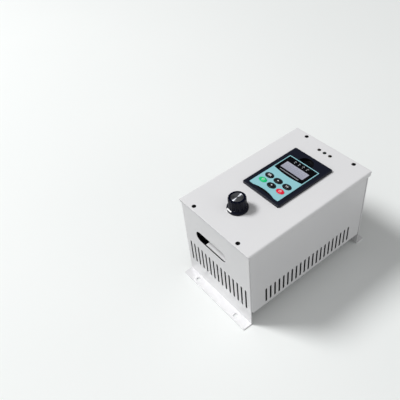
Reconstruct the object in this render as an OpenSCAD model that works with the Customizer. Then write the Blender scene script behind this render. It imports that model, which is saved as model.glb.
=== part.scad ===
// Induction heating machine: a white sheet steel power unit with a keypad, a knob and a cable slot.
// X is across the case, Y runs back from the cable end and Z is up. The origin lies on the surface
// that the two mounting feet stand on, under the middle of the case. All sizes are in millimetres.

/* [Case] */
// Width of the case over its side walls
case_w = 127.5; // [124:0.5:138]
// Length of the case over the outer faces of its end panels
case_l = 206.4; // [202:0.2:220]
// Height from the floor to the top of the lid
case_h = 140; // [138:1:155]
// Height of the case's underside above the floor
foot_gap = 21.5; // [16:0.5:23]
// Thickness of the steel of the floor and side walls
wall_t = 1.2; // [1:0.1:1.5]
// Thickness of the steel of the end panels
end_t = 1.5; // [1.2:0.1:1.8]
// Inside radius of the bends in the steel
bend_r = 0.8; // [0.5:0.1:1.2]
// Width of the flanges that the side walls turn in behind the end panels
wall_flange = 6.5; // [5:0.5:8]
// Height of the bend relief between the floor and those flanges
wall_relief = 4; // [3:0.5:5]
// Gap between the top of the side walls and the lid
wall_top_gap = 0.3; // [0.1:0.1:1]

/* [Lid] */
// Thickness of the lid
lid_t = 1.5; // [1.2:0.1:1.8]
// How far the lid stands out past each side wall
lid_side = 2.25; // [2:0.05:3]
// How far the lid stands out past each end panel
lid_end = 2; // [1:0.1:3]
// Depth of the lips down the long sides
lid_lip = 7; // [5:0.5:10]
// How far the lips stop short of the lid's ends
lid_lip_set = 1.5; // [1:0.1:3]
// Distance between the lid screws across the case
lid_screw_w = 82.8; // [70:0.2:96]
// Distance of the lid screws from the outer face of the end panels
lid_screw_in = 3.7; // [3.6:0.1:5]
// Depth of the flange at the top of each end panel
top_flange = 9; // [8.5:0.1:9.2]

/* [Vents] */
// Width of a vent slot
vent_w = 3; // [2.5:0.1:3.5]
// Number of vent slots in each side wall
side_vent_n = 21; // [15:2:23]
// Number of slots left out at the front of the left wall, beside the earth stud
left_blank_n = 2; // [0:1:4]
// Pitch of the side vent slots
side_vent_pitch = 7.65; // [7:0.05:8]
// Height of the side vent slots
side_vent_h = 27.1; // [20:0.1:40]
// Height of the lower ends of the side slots above the case's underside
side_vent_up = 6.2; // [6:0.1:9]
// Number of vent slots in the front end panel
end_vent_n = 15; // [9:2:15]
// Distance of the outermost end vent slots from the panel's side edges
end_vent_side = 6.95; // [6.5:0.05:12]
// Height of the end vent slots
end_vent_h = 38; // [25:0.5:42]
// Height of the lower ends of the end slots above the case's underside
end_vent_up = 7; // [6:0.1:10]

/* [Feet] */
// Reach of each foot from the face of its end panel
foot_d = 13.4; // [13:0.1:18]
// Radius of the corners of the feet
foot_r = 1.2; // [0.5:0.1:3]
// Distance between the mounting holes across the case
mount_w = 80; // [60:1:100]
// Distance of the mounting holes from the face of the end panel
mount_out = 6.8; // [6:0.1:8]
// Diameter of the mounting holes
mount_d = 6; // [4.5:0.1:7]

/* [Cable slot] */
// Length of the cable slot
slot_l = 59.6; // [40:0.2:64]
// Height of the cable slot
slot_h = 17.4; // [12:0.2:20]
// Place of the middle of the slot across the case
slot_x = -9.4; // [-12:0.2:0]
// Height of the middle of the slot above the floor
slot_z = 93; // [90:0.5:98]

/* [Fan] */
// Side of the square fan
fan_s = 80; // [76:1:84]
// Depth of the fan
fan_d = 25; // [20:0.5:28]
// Distance of the fan's screws from its edges
fan_edge = 4.25; // [4.2:0.05:5]
// Thickness of the fan's rim at the middle of its sides
fan_rim = 1.9; // [1.5:0.1:2.5]
// Radius of the fan's hub
fan_hub_r = 18; // [15:0.5:20]
// Thickness of the plastic of the fan
fan_t = 3.5; // [3:0.1:4]
// Number of fan blades
fan_blades = 7; // [5:1:9]
// Gap between the blade tips and the rim
fan_tip_gap = 1; // [0.6:0.1:1.5]
// Height of the fan above the case's floor
fan_up = 8; // [4:0.5:10]
// Thickness of the wire of the finger guard
guard_wire = 2; // [1.6:0.1:2.4]
// Number of rings in the finger guard
guard_rings = 5; // [3:1:5]

/* [Heatsink] */
// Width of the heatsink
sink_w = 100; // [90:1:106]
// Length of the heatsink
sink_l = 118; // [112:1:124]
// Height of the heatsink
sink_h = 38; // [34:0.5:40]
// Thickness of the heatsink's plate
sink_plate = 6; // [5.5:0.1:8]
// Thickness of the heatsink's two legs
sink_leg = 6; // [5:0.1:8]
// Number of fins between the legs
fin_n = 13; // [9:1:15]
// Thickness of a fin
fin_t = 1.6; // [1.2:0.1:2]
// Gap between the fins and the case's floor
fin_gap = 2; // [1:0.5:6]
// Gap between the heatsink and the fan
sink_fan_gap = 4; // [2:0.5:6]

/* [Power board] */
// How far the power board stands out past the heatsink's edges
board_over = 0.5; // [0:0.1:1]
// Thickness of a circuit board
board_t = 1.6; // [1.2:0.1:2]
// Height of the spacers under the power board
spacer_h = 14; // [12:0.5:15]
// Distance of the spacers from the heatsink's edges
spacer_in = 6; // [5:0.1:7]
// Diameter of the smoothing capacitors
can_d = 25; // [20:0.5:26]
// Height of the smoothing capacitors
can_h = 30; // [20:0.5:30]
// Length of a resonant capacitor
film_l = 42; // [36:0.5:43]
// Width of a resonant capacitor
film_w = 19; // [15:0.5:20]
// Height of a resonant capacitor
film_h = 28; // [20:0.5:30]
// Outer diameter of the choke's ring core
choke_d = 34; // [28:0.5:35]
// Height of the choke's ring core
choke_h = 15; // [10:0.5:16]
// Diameter of the choke's winding wire
choke_wire = 2.4; // [1.5:0.1:2.8]
// Number of turns on the choke
choke_turns = 13; // [8:1:14]
// Height of the control board
control_h = 40; // [30:1:42]
// Length of the control board
control_l = 84; // [60:1:90]

/* [Terminals] */
// Left edge of the terminal shelf, across the case
shelf_left = -24.4; // [-28:0.2:-22]
// Width of the terminal shelf
shelf_w = 76; // [74:0.5:80]
// Depth of the terminal shelf
shelf_d = 32; // [30:0.5:36]
// Gap between the shelf and the end panel
shelf_gap = 1.2; // [0.5:0.1:2]
// Drop from the slot's lower edge to the shelf
shelf_drop = 0.8; // [0.3:0.1:2]
// Number of terminals
pole_n = 5; // [3:1:5]
// Pitch of the terminals
pole_pitch = 11; // [10:0.1:11.2]
// Height of the terminal block
block_h = 18; // [15:0.5:20]
// Depth of the terminal block
block_d = 20; // [18:0.5:21]

/* [Keypad] */
// Width of the black frame's rim on each side of the keypad unit
bezel_side = 6.95; // [6.5:0.05:8]
// Width of the frame's rim in front of the unit
bezel_front = 5.8; // [5.5:0.1:7]
// Width of the frame's rim behind the unit
bezel_back = 17.3; // [17:0.1:19]
// How far the frame stands above the lid
bezel_h = 3.6; // [3:0.1:4.5]
// Radius of the frame's corners
bezel_r = 2.2; // [1.8:0.1:4]
// Chamfer round the top of the frame
bezel_cham = 0.9; // [0.4:0.1:1.4]
// Width of the keypad unit
unit_w = 51.6; // [51:0.2:53]
// Length of the keypad unit
unit_l = 73.5; // [72:0.5:75]
// Place of the middle of the unit along the case
unit_y = 15.35; // [15:0.05:16]
// Thickness of the keypad unit
unit_h = 15; // [14:0.5:16]
// Radius of the unit's corners
unit_r = 1.2; // [0.8:0.1:2]
// Gap round the unit in its pocket
unit_gap = 0.35; // [0.2:0.05:0.6]
// Thickness of moulded plastic walls
shell_t = 1.6; // [1.4:0.1:1.9]
// Thickness of the printed overlay
overlay_t = 0.5; // [0.3:0.05:0.7]
// Radius of the finger recess above the unit
finger_r = 12; // [10:0.2:13]
// Depth of the finger recess
finger_h = 4.6; // [3:0.1:5]
// Length of the chord of the crescent recess
crescent_l = 37; // [30:0.5:40]
// Rise of the crescent recess
crescent_h = 3.2; // [2.5:0.1:4]
// Width of the teal border round the display field
border_w = 1.3; // [1:0.1:1.8]
// Length of the display window
window_l = 38.8; // [36:0.2:40]
// Height of the display window
window_w = 13.3; // [12:0.1:14]
// Place of the middle of the window along the case
window_y = 34; // [33.5:0.1:35]
// Lowest point of the display field along the case
field_y = 19.2; // [18.5:0.1:20.5]
// Bow of the lower edge of the display field
field_bow = 2.4; // [1:0.1:3]
// Width of a key
key_w = 12.2; // [11:0.1:13]
// Height of a key
key_l = 8; // [7:0.1:9]
// Pitch of the keys across the unit
key_pitch_x = 15.5; // [15.2:0.1:16]
// Pitch of the keys along the unit
key_pitch_y = 11.7; // [11.5:0.1:12.5]
// Place of the lower row of keys along the case
key_y = -7.1; // [-7.4:0.1:-6.5]
// How far a key stands above the overlay
key_up = 0.9; // [0.5:0.1:1.5]
// Travel of a key
key_travel = 0.7; // [0.4:0.1:0.8]
// Gap round a key in its hole
key_gap = 0.25; // [0.15:0.05:0.35]

/* [Knob] */
// Distance of the knob from the front end panel's face
knob_in = 40.9; // [38:0.1:44]
// Place of the knob across the case
knob_x = -1.5; // [-4:0.1:4]
// Diameter of the knob's skirt
skirt_d = 27.5; // [26:0.1:30]
// Height of the knob's skirt
skirt_h = 2.4; // [2:0.1:3]
// Diameter of the knob's top
knob_top_d = 22.7; // [21.5:0.1:24]
// Height of the knob's top above the lid
knob_h = 19.1; // [18:0.1:22]
// Gap between the knob and the lid
knob_gap = 0.6; // [0.4:0.1:1]
// Number of flutes round the knob
flute_n = 14; // [10:1:18]
// Radius of a flute
flute_r = 1.7; // [1.2:0.1:2]
// Diameter of the aluminium cap
cap_d = 16.4; // [14:0.1:18]
// Angle of the pointer from the X axis at the minimum stop
pointer_a = 248; // [210:1:250]
// Diameter of the potentiometer's shaft
shaft_d = 6; // [5:0.1:6.3]
// Diameter of the potentiometer's body
pot_d = 24; // [18:0.5:24]
// Depth of the potentiometer's body
pot_h = 9; // [8:0.5:10]

/* [Indicators] */
// Distance of the lamps from the rear end panel's face
lamp_in = 12.9; // [12.8:0.1:16]
// Pitch of the lamps
lamp_pitch = 9.5; // [8.5:0.1:12]
// Diameter of a lamp
lamp_d = 5; // [4:0.1:5.2]
// How far a lamp stands above the lid
lamp_up = 1.2; // [0.5:0.1:1.6]

/* [Hidden] */
$fn = 48;

// Shared clearances
thread_gap = 0.05;
hole_gap = 0.2;
part_gap = 0.25;
over = 1;

// Places that follow from the case
half_w = case_w / 2;
half_l = case_l / 2;
out_r = bend_r + wall_t;
end_out_r = bend_r + end_t;
end_in = half_l - end_t;
shell_l = 2 * end_in;
deck_z = foot_gap + wall_t;
roof_z = case_h - lid_t;
lid_w = case_w + 2 * lid_side;
lid_l = case_l + 2 * lid_end;
lid_screw_y = half_l - lid_screw_in;
end_vent_pitch = (case_w - 2 * end_vent_side - vent_w) / (end_vent_n - 1);
top_side_gap = 1;
top_w = case_w - 2 * (wall_flange + top_side_gap);

// Screws: shank radius, head radius, head height
m3_r = 1.5;
m3_head_r = 2.8;
m3_head_h = 2;
m4_r = 2;
m4_head_r = 3.6;
m4_head_h = 2.6;
m2_r = 0.95;
m2_head_r = 1.9;
m2_head_h = 1.2;
lid_screw_l = 7;
lid_head_h = 1.4;
collar_t = 0.8;
collar_h = 2.4;
cross_w_share = 0.28;
cross_l_share = 1.15;
cross_h_share = 0.6;
head_side_share = 0.6;
head_top_share = 0.75;

// Fan
fan_pitch = fan_s - 2 * fan_edge;
fan_z = deck_z + fan_up + fan_s / 2;
fan_y = end_in - fan_d / 2;
fan_bore_r = fan_s / 2 - fan_rim;
fan_corner_r = 3;
fan_duct_t = 2.4;
fan_strut_w = 4;
fan_strut_h = 2.4;
strut_set = 0.3;
fan_shaft_r = 1.5;
fan_hub_gap = 0.8;
fan_boss_r = 4;
stator_r = 7;
hub_wall_t = 1.8;
hub_cham = 0.8;
blade_t = 1.3;
blade_arc_r = 21;
blade_low_share = 0.3;
blade_high_share = 0.97;
guard_first_share = 0.24;
guard_weld = 0.4;
guard_eye_r = m4_r + hole_gap + guard_wire / 2;

// Heatsink and what it carries
sink_y = end_in - fan_d - sink_fan_gap - sink_l / 2;
sink_z = deck_z + sink_h;
sink_screw_x = sink_w / 2 - sink_leg / 2;
sink_screw_in = 14;
sink_screw_y = sink_l / 2 - sink_screw_in;
sink_screw_l = 9;
spacer_x = sink_w / 2 - spacer_in;
spacer_y = sink_l / 2 - spacer_in;
spacer_af = 5.5;
spacer_stud = 4;
spacer_bore = 7;
board_w = sink_w + 2 * board_over;
board_l = sink_l + 2 * board_over;
board_z = sink_z + spacer_h;
board_top = board_z + board_t;
chip_w = 15.9;
chip_l = 20.8;
chip_h = 5;
chip_hole_r = 1.8;
chip_hole_in = 6;
chip_pitch = 22;
chip_front = 30;
chip_y = sink_y - chip_front;
chip_n = 4;
chip_lead_n = 3;
lead_w = 1.2;
lead_t = 0.6;
lead_pitch = 5.45;
lead_out = 3;
chip_screw_l = 8;
bridge_w = 30;
bridge_l = 20;
bridge_h = 4.6;
bridge_back = 22;
bridge_y = sink_y + bridge_back;
bridge_lead_n = 4;
bridge_lead_pitch = 7.5;

// Places on the power board, from its middle or from its front and back edges
can_x = [-24, 6];
can_back = 19.5;
can_y = board_l / 2 - can_back;
can_bead = 1;
can_rim_h = 3;
film_x = 28;
film_y = [-15, 7];
film_r = 2;
choke_x = -17;
choke_y = -4;
choke_bore_share = 0.55;
choke_span = 330;
choke_gap = 0.4;
loop_r_share = 0.35;
choke_facets = 6;
choke_steps = 16;
choke_step_share = 0.2;
sensor_x = -20;
sensor_front = 15.5;
sensor_y = sensor_front - board_l / 2;
sensor_w = 20;
sensor_l = 10;
sensor_h = 20;
sensor_bore_r = 4.5;
relay_x = 38;
relay_y = can_y;
relay_w = 19;
relay_l = 15.5;
relay_h = 15.8;
relay_lip = 0.8;
control_x = -46.5;
header_w = 5;
header_h = 8.5;
header_l_share = 0.6;
mcu_w = 12;
mcu_t = 1.6;
plug_w = 6;
plug_l = 10;
plug_h = 6;
plug_set = 1;
plug_share = 0.33;

// Terminals
shelf_z = slot_z - slot_h / 2 - shelf_drop;
shelf_y = -end_in + shelf_gap;
shelf_x = shelf_left + shelf_w / 2;
shelf_foot = 11;
shelf_foot_in = 6;
shelf_window_share = 0.55;
shelf_screw_in = 7;
shelf_screw_l = 5.4;
pole_l = pole_n * pole_pitch;
barrier_t = 1.4;
block_base_h = 9;
block_ear = 7;
block_side = 3;
block_back_gap = 1;
block_x = shelf_x + block_side;
block_y = shelf_y + shelf_d - block_d / 2 - block_back_gap;
tag_w_share = 0.68;
ear_w_share = 0.6;
tag_l = 14;
tag_t = 0.8;
tag_screw_y = 4.2;
block_screw_l = 7;
ear_h = 4;
earth_side = 17.75;
earth_x = earth_side - half_w;
earth_in = 18;
earth_l = 16;
washer_t = 0.8;
washer_r = 4.3;
stud_tip = 0.5;
nut_h = 3.2;
nut_af = 7;

// Keypad
bezel_w = unit_w + 2 * bezel_side;
bezel_l = unit_l + bezel_front + bezel_back;
bezel_y = unit_y + (bezel_back - bezel_front) / 2;
bezel_top = case_h + bezel_h;
neck_side = 1.8;
neck_front = 0.65;
neck_back = 2.1;
cut_front = unit_gap + shell_t + neck_front;
cut_back = finger_r + neck_back;
cut_w = unit_w + 2 * (unit_gap + shell_t + neck_side);
cut_l = unit_l + cut_front + cut_back;
cut_y = unit_y + (cut_back - cut_front) / 2;
unit_set = 0.1;
unit_top = bezel_top - unit_set;
unit_z = unit_top - unit_h;
tray_z = unit_z - shell_t;
tray_w = unit_w + 2 * unit_gap + 2 * shell_t;
tray_l = unit_l + 2 * unit_gap + 2 * shell_t;
neck_below = 2;
neck_z = roof_z - neck_below;
hook_l = 10;
hook_out = 0.9;
hook_h = 1.4;
hook_y = 26;
overlay_z = unit_top - overlay_t;
plate_z = overlay_z - shell_t;
back_t = shell_t;
pcb_in = 0.4;
pcb_up = 4.2;
pcb_r = 1;
pcb_z = unit_z + back_t + pcb_up;
pcb_top = pcb_z + board_t;
post_r = 2.2;
post_in = 4.3;
post_x = unit_w / 2 - post_in;
post_y = unit_l / 2 - post_in;
keypad_screw_l = 5;
socket_back = 14;
socket_y = unit_y + socket_back;
socket_r = 0.5;
socket_w = 16;
socket_l = 12;
socket_h = 10;
socket_t = 1.5;
socket_flange = 2;
pin_gap = 0.4;
pin_h = 5;
crescent_r = (pow(crescent_l / 2, 2) + pow(crescent_h, 2)) / (2 * crescent_h);
crescent_y = -unit_l / 2 + crescent_h - crescent_r;
crescent_d_share = 0.7;
crescent_d = overlay_t + crescent_d_share * shell_t;
field_w = unit_w - 2 * border_w;
field_top = unit_l / 2 + unit_y - border_w;
field_r = (pow(field_w / 2, 2) + pow(field_bow, 2)) / (2 * field_bow);
window_set = 0.1;
window_lap = 0.4;
display_in = 0.8;
light_pitch = 6.93;
light_y = 44.4;
light_r = 0.65;
light_n = 4;
key_flange = 0.9;
key_flange_h = 0.9;
key_seat_gap = 0.1;
key_crown_r = 38;
key_points = 40;
switch_w = 6;
switch_body_share = 0.8;
switch_dome_share = 0.28;
key_flange_z = plate_z - key_seat_gap - key_flange_h;
switch_h = key_flange_z - key_travel - key_seat_gap - pcb_top;
key_cols = 3;

// Knob and potentiometer, heights from the lid's top
knob_y = -half_l + knob_in;
bush_r = 3.5;
bush_h = 5.5;
pot_nut_af = 10;
pot_nut_h = 2.2;
pot_washer_t = 0.5;
pot_washer_r = 6;
pot_tag_w = 2;
pot_tag_l = 6;
pot_tag_t = 0.8;
pot_tag_a = 30;
shaft_low = 4;
shaft_top_gap = 3.2;
skirt_slope_h = 1.4;
knob_taper = 0.8;
knob_base_d = knob_top_d + knob_taper;
knob_edge_r = 0.8;
flute_in_share = 0.5;
knob_floor = 7;
knob_cavity_r = 8;
cap_t = 0.8;
cap_sink = 0.5;
insert_r = 4.6;
insert_h = 7;
pointer_w = 2.4;
pointer_l = 2.4;
pointer_t = 0.35;
grub_r = 1.5;
grub_set = 2;

// Indicator lamps
lamp_y = half_l - lamp_in;
lamp_hole_r = lamp_d / 2 + hole_gap;
holder_r = 3.4;
holder_h = 7;
lamp_low = 9;
lamp_rim = 0.4;

// Colours
paint = [0.88, 0.88, 0.89];
black = [0.09, 0.09, 0.11];
teal = [0.55, 0.8, 0.83];
steel = [0.7, 0.71, 0.73];
zinc = [0.75, 0.74, 0.68];
aluminium = [0.78, 0.79, 0.8];
brass = [0.78, 0.64, 0.32];
copper = [0.72, 0.4, 0.22];
board_green = [0.07, 0.35, 0.2];
glass_grey = [0.66, 0.64, 0.71];

// Outlines that several pieces share

module rrect(w, l, r) {
    square([w - 2 * r, l], center = true);
    square([w, l - 2 * r], center = true);
    for (x = [-1, 1], y = [-1, 1]) translate([x * (w / 2 - r), y * (l / 2 - r)]) circle(r);
}

module obround(l, w) {
    square([l - w, w], center = true);
    for (s = [-1, 1]) translate([s * (l - w) / 2, 0]) circle(d = w);
}

module oval(w, l) {
    polygon([for (i = [0 : key_points - 1])
        [w / 2 * cos(360 * i / key_points), l / 2 * sin(360 * i / key_points)]]);
}

// Turns an outline drawn in Y and Z so that it is extruded along X
module along_x(l) rotate([90, 0, 90]) linear_extrude(l, center = true) children();

// Turns an outline drawn in X and Z so that it is extruded along Y
module along_y(l) rotate([90, 0, 0]) linear_extrude(l, center = true) children();

// One copy at each corner of a rectangle
module corners(x, y) for (i = [-1, 1], j = [-1, 1]) translate([i * x, j * y, 0]) children();

// Both ends of the case, the second a mirror image of the first
module both_ends() for (m = [0, 1]) mirror([0, m, 0]) children();

module hexagon(af, h) cylinder(d = af / cos(180 / 6), h = h, $fn = 6);

// Cross recess cut down from z = 0 in a head of radius r
module cross(r, h) for (a = [0, 90]) rotate([0, 0, a])
    translate([0, 0, -h * cross_h_share / 2 + over / 2])
        cube([r * cross_l_share, r * cross_w_share, h * cross_h_share + over], center = true);

// Pan head screw with the underside of its head at z = 0 and its shank going down
module pan_screw(r, head_r, head_h, l) difference() {
    union() {
        cylinder(r = head_r, h = head_h * head_side_share);
        translate([0, 0, head_h * head_side_share])
            cylinder(r1 = head_r, r2 = head_r * head_top_share, h = head_h * (1 - head_side_share));
        translate([0, 0, -l]) cylinder(r = r, h = l);
    }
    translate([0, 0, head_h]) cross(head_r, head_h);
}

module m3_screw(l) pan_screw(m3_r, m3_head_r, m3_head_h, l);

// The steel case

module floor_outline() intersection() {
    translate([0, foot_gap + half_w]) difference() {
        rrect(case_w, case_w, out_r);
        rrect(case_w - 2 * wall_t, case_w - 2 * wall_t, bend_r);
    }
    translate([-half_w, foot_gap]) square([case_w, wall_relief]);
}

module wall_outline() difference() {
    rrect(case_w, shell_l, out_r);
    rrect(case_w - 2 * wall_t, shell_l - 2 * wall_t, bend_r);
    square([case_w - 2 * wall_flange, shell_l + over], center = true);
}

module side_vents() for (s = [-1, 1], i = [s < 0 ? left_blank_n : 0 : side_vent_n - 1])
    translate([s * half_w, (i - (side_vent_n - 1) / 2) * side_vent_pitch,
        foot_gap + side_vent_up + side_vent_h / 2])
        along_x(2 * wall_t + over) rotate(90) obround(side_vent_h, vent_w);

module base_shell() color(paint) difference() {
    union() {
        along_y(shell_l - 2 * out_r) floor_outline();
        translate([0, 0, foot_gap + wall_t / 2])
            cube([case_w - 2 * out_r, shell_l, wall_t], center = true);
        translate([0, 0, foot_gap + wall_relief])
            linear_extrude(roof_z - wall_top_gap - foot_gap - wall_relief) wall_outline();
    }
    side_vents();
    translate([0, sink_y, foot_gap - over]) corners(sink_screw_x, sink_screw_y)
        cylinder(r = m3_r + hole_gap, h = wall_t + 2 * over);
    shelf_fixings() translate([0, 0, -over - wall_t]) cylinder(r = m3_r + thread_gap, h = wall_t + 2 * over);
    earth_place() translate([0, 0, -wall_t - over]) cylinder(r = m4_r + thread_gap, h = wall_t + 2 * over);
}

module bend(a) rotate(a) intersection() {
    difference() {
        circle(end_out_r);
        circle(bend_r);
    }
    square(end_out_r);
}

module end_outline() {
    translate([-half_l, end_out_r]) square([end_t, roof_z - 2 * end_out_r]);
    translate([-half_l - foot_d, 0]) square([foot_d - bend_r, end_t]);
    translate([-half_l - bend_r, end_out_r]) bend(-90);
}

module top_flange_outline() {
    translate([-half_l + end_out_r, roof_z - end_t]) square([top_flange - end_out_r, end_t]);
    translate([-half_l + end_out_r, roof_z - end_out_r]) bend(90);
}

// A folded end panel at the front, with its foot turned out and its top flange turned in
module end_panel() difference() {
    union() {
        intersection() {
            along_x(case_w) end_outline();
            linear_extrude(case_h) rrect(case_w, case_l + 2 * foot_d, foot_r);
        }
        along_x(top_w) top_flange_outline();
        for (s = [-1, 1])
            translate([s * (half_w + top_w / 2) / 2, -half_l + end_t / 2, roof_z - end_out_r / 2])
                cube([(case_w - top_w) / 2, end_t, end_out_r], center = true);
        for (s = [-1, 1]) translate([s * lid_screw_w / 2, -lid_screw_y, roof_z - end_t - collar_h])
            cylinder(r = m3_r + collar_t, h = collar_h + end_t);
    }
    for (s = [-1, 1]) translate([s * lid_screw_w / 2, -lid_screw_y, roof_z - end_t - collar_h - over])
        cylinder(r = m3_r + thread_gap, h = collar_h + end_t + 2 * over);
    for (s = [-1, 1]) translate([s * mount_w / 2, -half_l - mount_out, -over])
        cylinder(d = mount_d, h = end_t + 2 * over);
}

module front_end_panel() color(paint) difference() {
    end_panel();
    translate([slot_x, -half_l, slot_z]) along_y(2 * end_t + over) obround(slot_l, slot_h);
    for (i = [0 : end_vent_n - 1])
        translate([(i - (end_vent_n - 1) / 2) * end_vent_pitch, -half_l,
            foot_gap + end_vent_up + end_vent_h / 2])
            along_y(2 * end_t + over) rotate(90) obround(end_vent_h, vent_w);
}

module rear_end_panel() color(paint) difference() {
    rotate([0, 0, 180]) end_panel();
    translate([0, half_l, fan_z]) rotate([90, 0, 0]) {
        cylinder(r = fan_bore_r, h = 2 * end_t + over, center = true);
        corners(fan_pitch / 2, fan_pitch / 2)
            cylinder(r = m4_r + hole_gap, h = 2 * end_t + over, center = true);
    }
}

module lid_outline() intersection() {
    translate([0, case_h - lid_w / 2]) difference() {
        rrect(lid_w, lid_w, bend_r + lid_t);
        rrect(lid_w - 2 * lid_t, lid_w - 2 * lid_t, bend_r);
    }
    translate([-lid_w / 2, case_h - lid_lip]) square([lid_w, lid_lip]);
}

module lid() color(paint) difference() {
    along_y(lid_l) lid_outline();
    both_ends() translate([0, lid_l / 2, roof_z - bend_r - lid_lip / 2])
        cube([lid_w + over, 2 * lid_lip_set, lid_lip], center = true);
    translate([0, cut_y, roof_z - over]) linear_extrude(lid_t + 2 * over) rrect(cut_w, cut_l, bezel_r);
    translate([knob_x, knob_y, roof_z - over]) cylinder(r = bush_r + hole_gap, h = lid_t + 2 * over);
    lamps() translate([0, 0, roof_z - over]) cylinder(r = lamp_hole_r, h = lid_t + 2 * over);
    corners(lid_screw_w / 2, lid_screw_y) {
        translate([0, 0, roof_z - over]) cylinder(r = m3_r + hole_gap, h = lid_t + 2 * over);
        translate([0, 0, case_h - lid_head_h])
            cylinder(r1 = m3_r + hole_gap, r2 = m3_head_r + hole_gap, h = lid_head_h + thread_gap);
    }
}

module lid_screws() color(black) corners(lid_screw_w / 2, lid_screw_y)
    translate([0, 0, case_h]) difference() {
        union() {
            translate([0, 0, -lid_head_h]) cylinder(r1 = m3_r, r2 = m3_head_r, h = lid_head_h);
            translate([0, 0, -lid_screw_l]) cylinder(r = m3_r, h = lid_screw_l - lid_head_h);
        }
        cross(m3_head_r, lid_head_h);
    }

// The fan, drawn with its axis up and then turned to face the rear

module fan_place() translate([0, fan_y, fan_z]) rotate([-90, 0, 0]) children();

module fan_struts() for (a = [45 : 90 : 315]) rotate([0, 0, a])
    translate([0, -fan_strut_w / 2, strut_set - fan_d / 2])
        cube([fan_bore_r + over, fan_strut_w, fan_strut_h - 2 * strut_set]);

module fan_frame() color(black) fan_place() difference() {
    union() {
        difference() {
            union() {
                for (s = [-1, 1]) translate([0, 0, s * (fan_d - fan_t) / 2])
                    linear_extrude(fan_t, center = true) rrect(fan_s, fan_s, fan_corner_r);
                intersection() {
                    cylinder(r = fan_bore_r + fan_duct_t, h = fan_d, center = true);
                    cube([fan_s, fan_s, fan_d], center = true);
                }
                corners(fan_pitch / 2, fan_pitch / 2)
                    cylinder(r = fan_boss_r, h = fan_d, center = true);
            }
            cylinder(r = fan_bore_r, h = fan_d + over, center = true);
        }
        fan_struts();
        translate([0, 0, -fan_d / 2]) cylinder(r = fan_hub_r, h = fan_strut_h);
        translate([0, 0, -fan_d / 2])
            cylinder(r = stator_r, h = fan_d - hub_wall_t - 3 * fan_hub_gap);
    }
    translate([0, 0, -fan_d / 2 + fan_strut_h]) cylinder(r = fan_shaft_r + thread_gap, h = fan_d);
    corners(fan_pitch / 2, fan_pitch / 2) cylinder(r = m4_r + thread_gap, h = fan_d + over, center = true);
}

module blade_outline() intersection() {
    difference() {
        circle(blade_arc_r);
        circle(blade_arc_r - blade_t);
    }
    translate([0, blade_arc_r * blade_low_share])
        square([blade_arc_r, blade_arc_r * (blade_high_share - blade_low_share)]);
}

module fan_rotor() color([0.13, 0.13, 0.15]) fan_place() {
    rotor_low = -fan_d / 2 + fan_strut_h + fan_hub_gap;
    rotor_h = fan_d - fan_strut_h - 2 * fan_hub_gap;
    difference() {
        union() {
            translate([0, 0, rotor_low]) cylinder(r = fan_hub_r, h = rotor_h - hub_cham);
            translate([0, 0, rotor_low + rotor_h - hub_cham])
                cylinder(r1 = fan_hub_r, r2 = fan_hub_r - hub_cham, h = hub_cham);
            intersection() {
                for (i = [0 : fan_blades - 1]) rotate([0, 0, 360 * i / fan_blades])
                    translate([fan_hub_r / 2 + fan_bore_r / 2, -blade_arc_r / 2,
                        rotor_low - blade_arc_r * blade_low_share + over])
                        along_x(fan_bore_r) blade_outline();
                cylinder(r = fan_bore_r - fan_tip_gap, h = fan_d, center = true);
            }
        }
        translate([0, 0, rotor_low - over])
            cylinder(r = fan_hub_r - hub_wall_t, h = rotor_h - hub_wall_t + over);
    }
    translate([0, 0, rotor_low]) cylinder(r = fan_shaft_r, h = rotor_h - over);
}

module ring(r, wire_d) rotate_extrude() translate([r, 0]) circle(d = wire_d);

module fan_guard() color(steel) translate([0, half_l, fan_z]) rotate([-90, 0, 0]) {
    arm_r = norm([fan_pitch, fan_pitch]) / 2;
    first_r = fan_s / 2 * guard_first_share;
    last_r = fan_s / 2 - guard_wire / 2;
    for (i = [0 : guard_rings - 1])
        translate([0, 0, guard_wire + guard_wire / 2 - guard_weld])
            ring(first_r + (last_r - first_r) * i / (guard_rings - 1), guard_wire);
    for (a = [45 : 90 : 315]) rotate([0, 0, a]) {
        translate([first_r, 0, guard_wire / 2]) rotate([0, 90, 0])
            cylinder(d = guard_wire, h = arm_r - guard_eye_r - first_r);
        translate([arm_r, 0, guard_wire / 2]) ring(guard_eye_r, guard_wire);
    }
}

module fan_screws() color(steel) translate([0, half_l + guard_wire, fan_z]) rotate([-90, 0, 0])
    corners(fan_pitch / 2, fan_pitch / 2)
        pan_screw(m4_r, m4_head_r, m4_head_h, fan_d - over + guard_wire);

// The heatsink, with its plate on top, fins below and a thick leg down each side

module heatsink_outline() difference() {
    translate([-sink_w / 2, deck_z]) square([sink_w, sink_h]);
    inner = sink_w - 2 * sink_leg;
    pitch = inner / (fin_n + 1);
    translate([-inner / 2, deck_z - over]) square([inner, fin_gap + over]);
    for (i = [0 : fin_n]) {
        left = -inner / 2 + i * pitch + (i == 0 ? 0 : fin_t / 2);
        right = -inner / 2 + (i + 1) * pitch - (i == fin_n ? 0 : fin_t / 2);
        translate([left, deck_z - over]) square([right - left, sink_h - sink_plate + over]);
    }
}

module heatsink() color(aluminium) translate([0, sink_y, 0]) difference() {
    along_y(sink_l) heatsink_outline();
    corners(sink_screw_x, sink_screw_y)
        translate([0, 0, deck_z - over]) cylinder(r = m3_r + thread_gap, h = sink_screw_l + over);
    corners(spacer_x, spacer_y) translate([0, 0, sink_z - spacer_stud - over])
        cylinder(r = m3_r + thread_gap, h = spacer_stud + 2 * over);
    translate([0, -sink_y, 0]) chip_places() translate([0, 0, -sink_plate + over])
        cylinder(r = m3_r + thread_gap, h = sink_plate);
    translate([0, -sink_y, 0]) bridge_place() translate([0, 0, -sink_plate + over])
        cylinder(r = m3_r + thread_gap, h = sink_plate);
}

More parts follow.
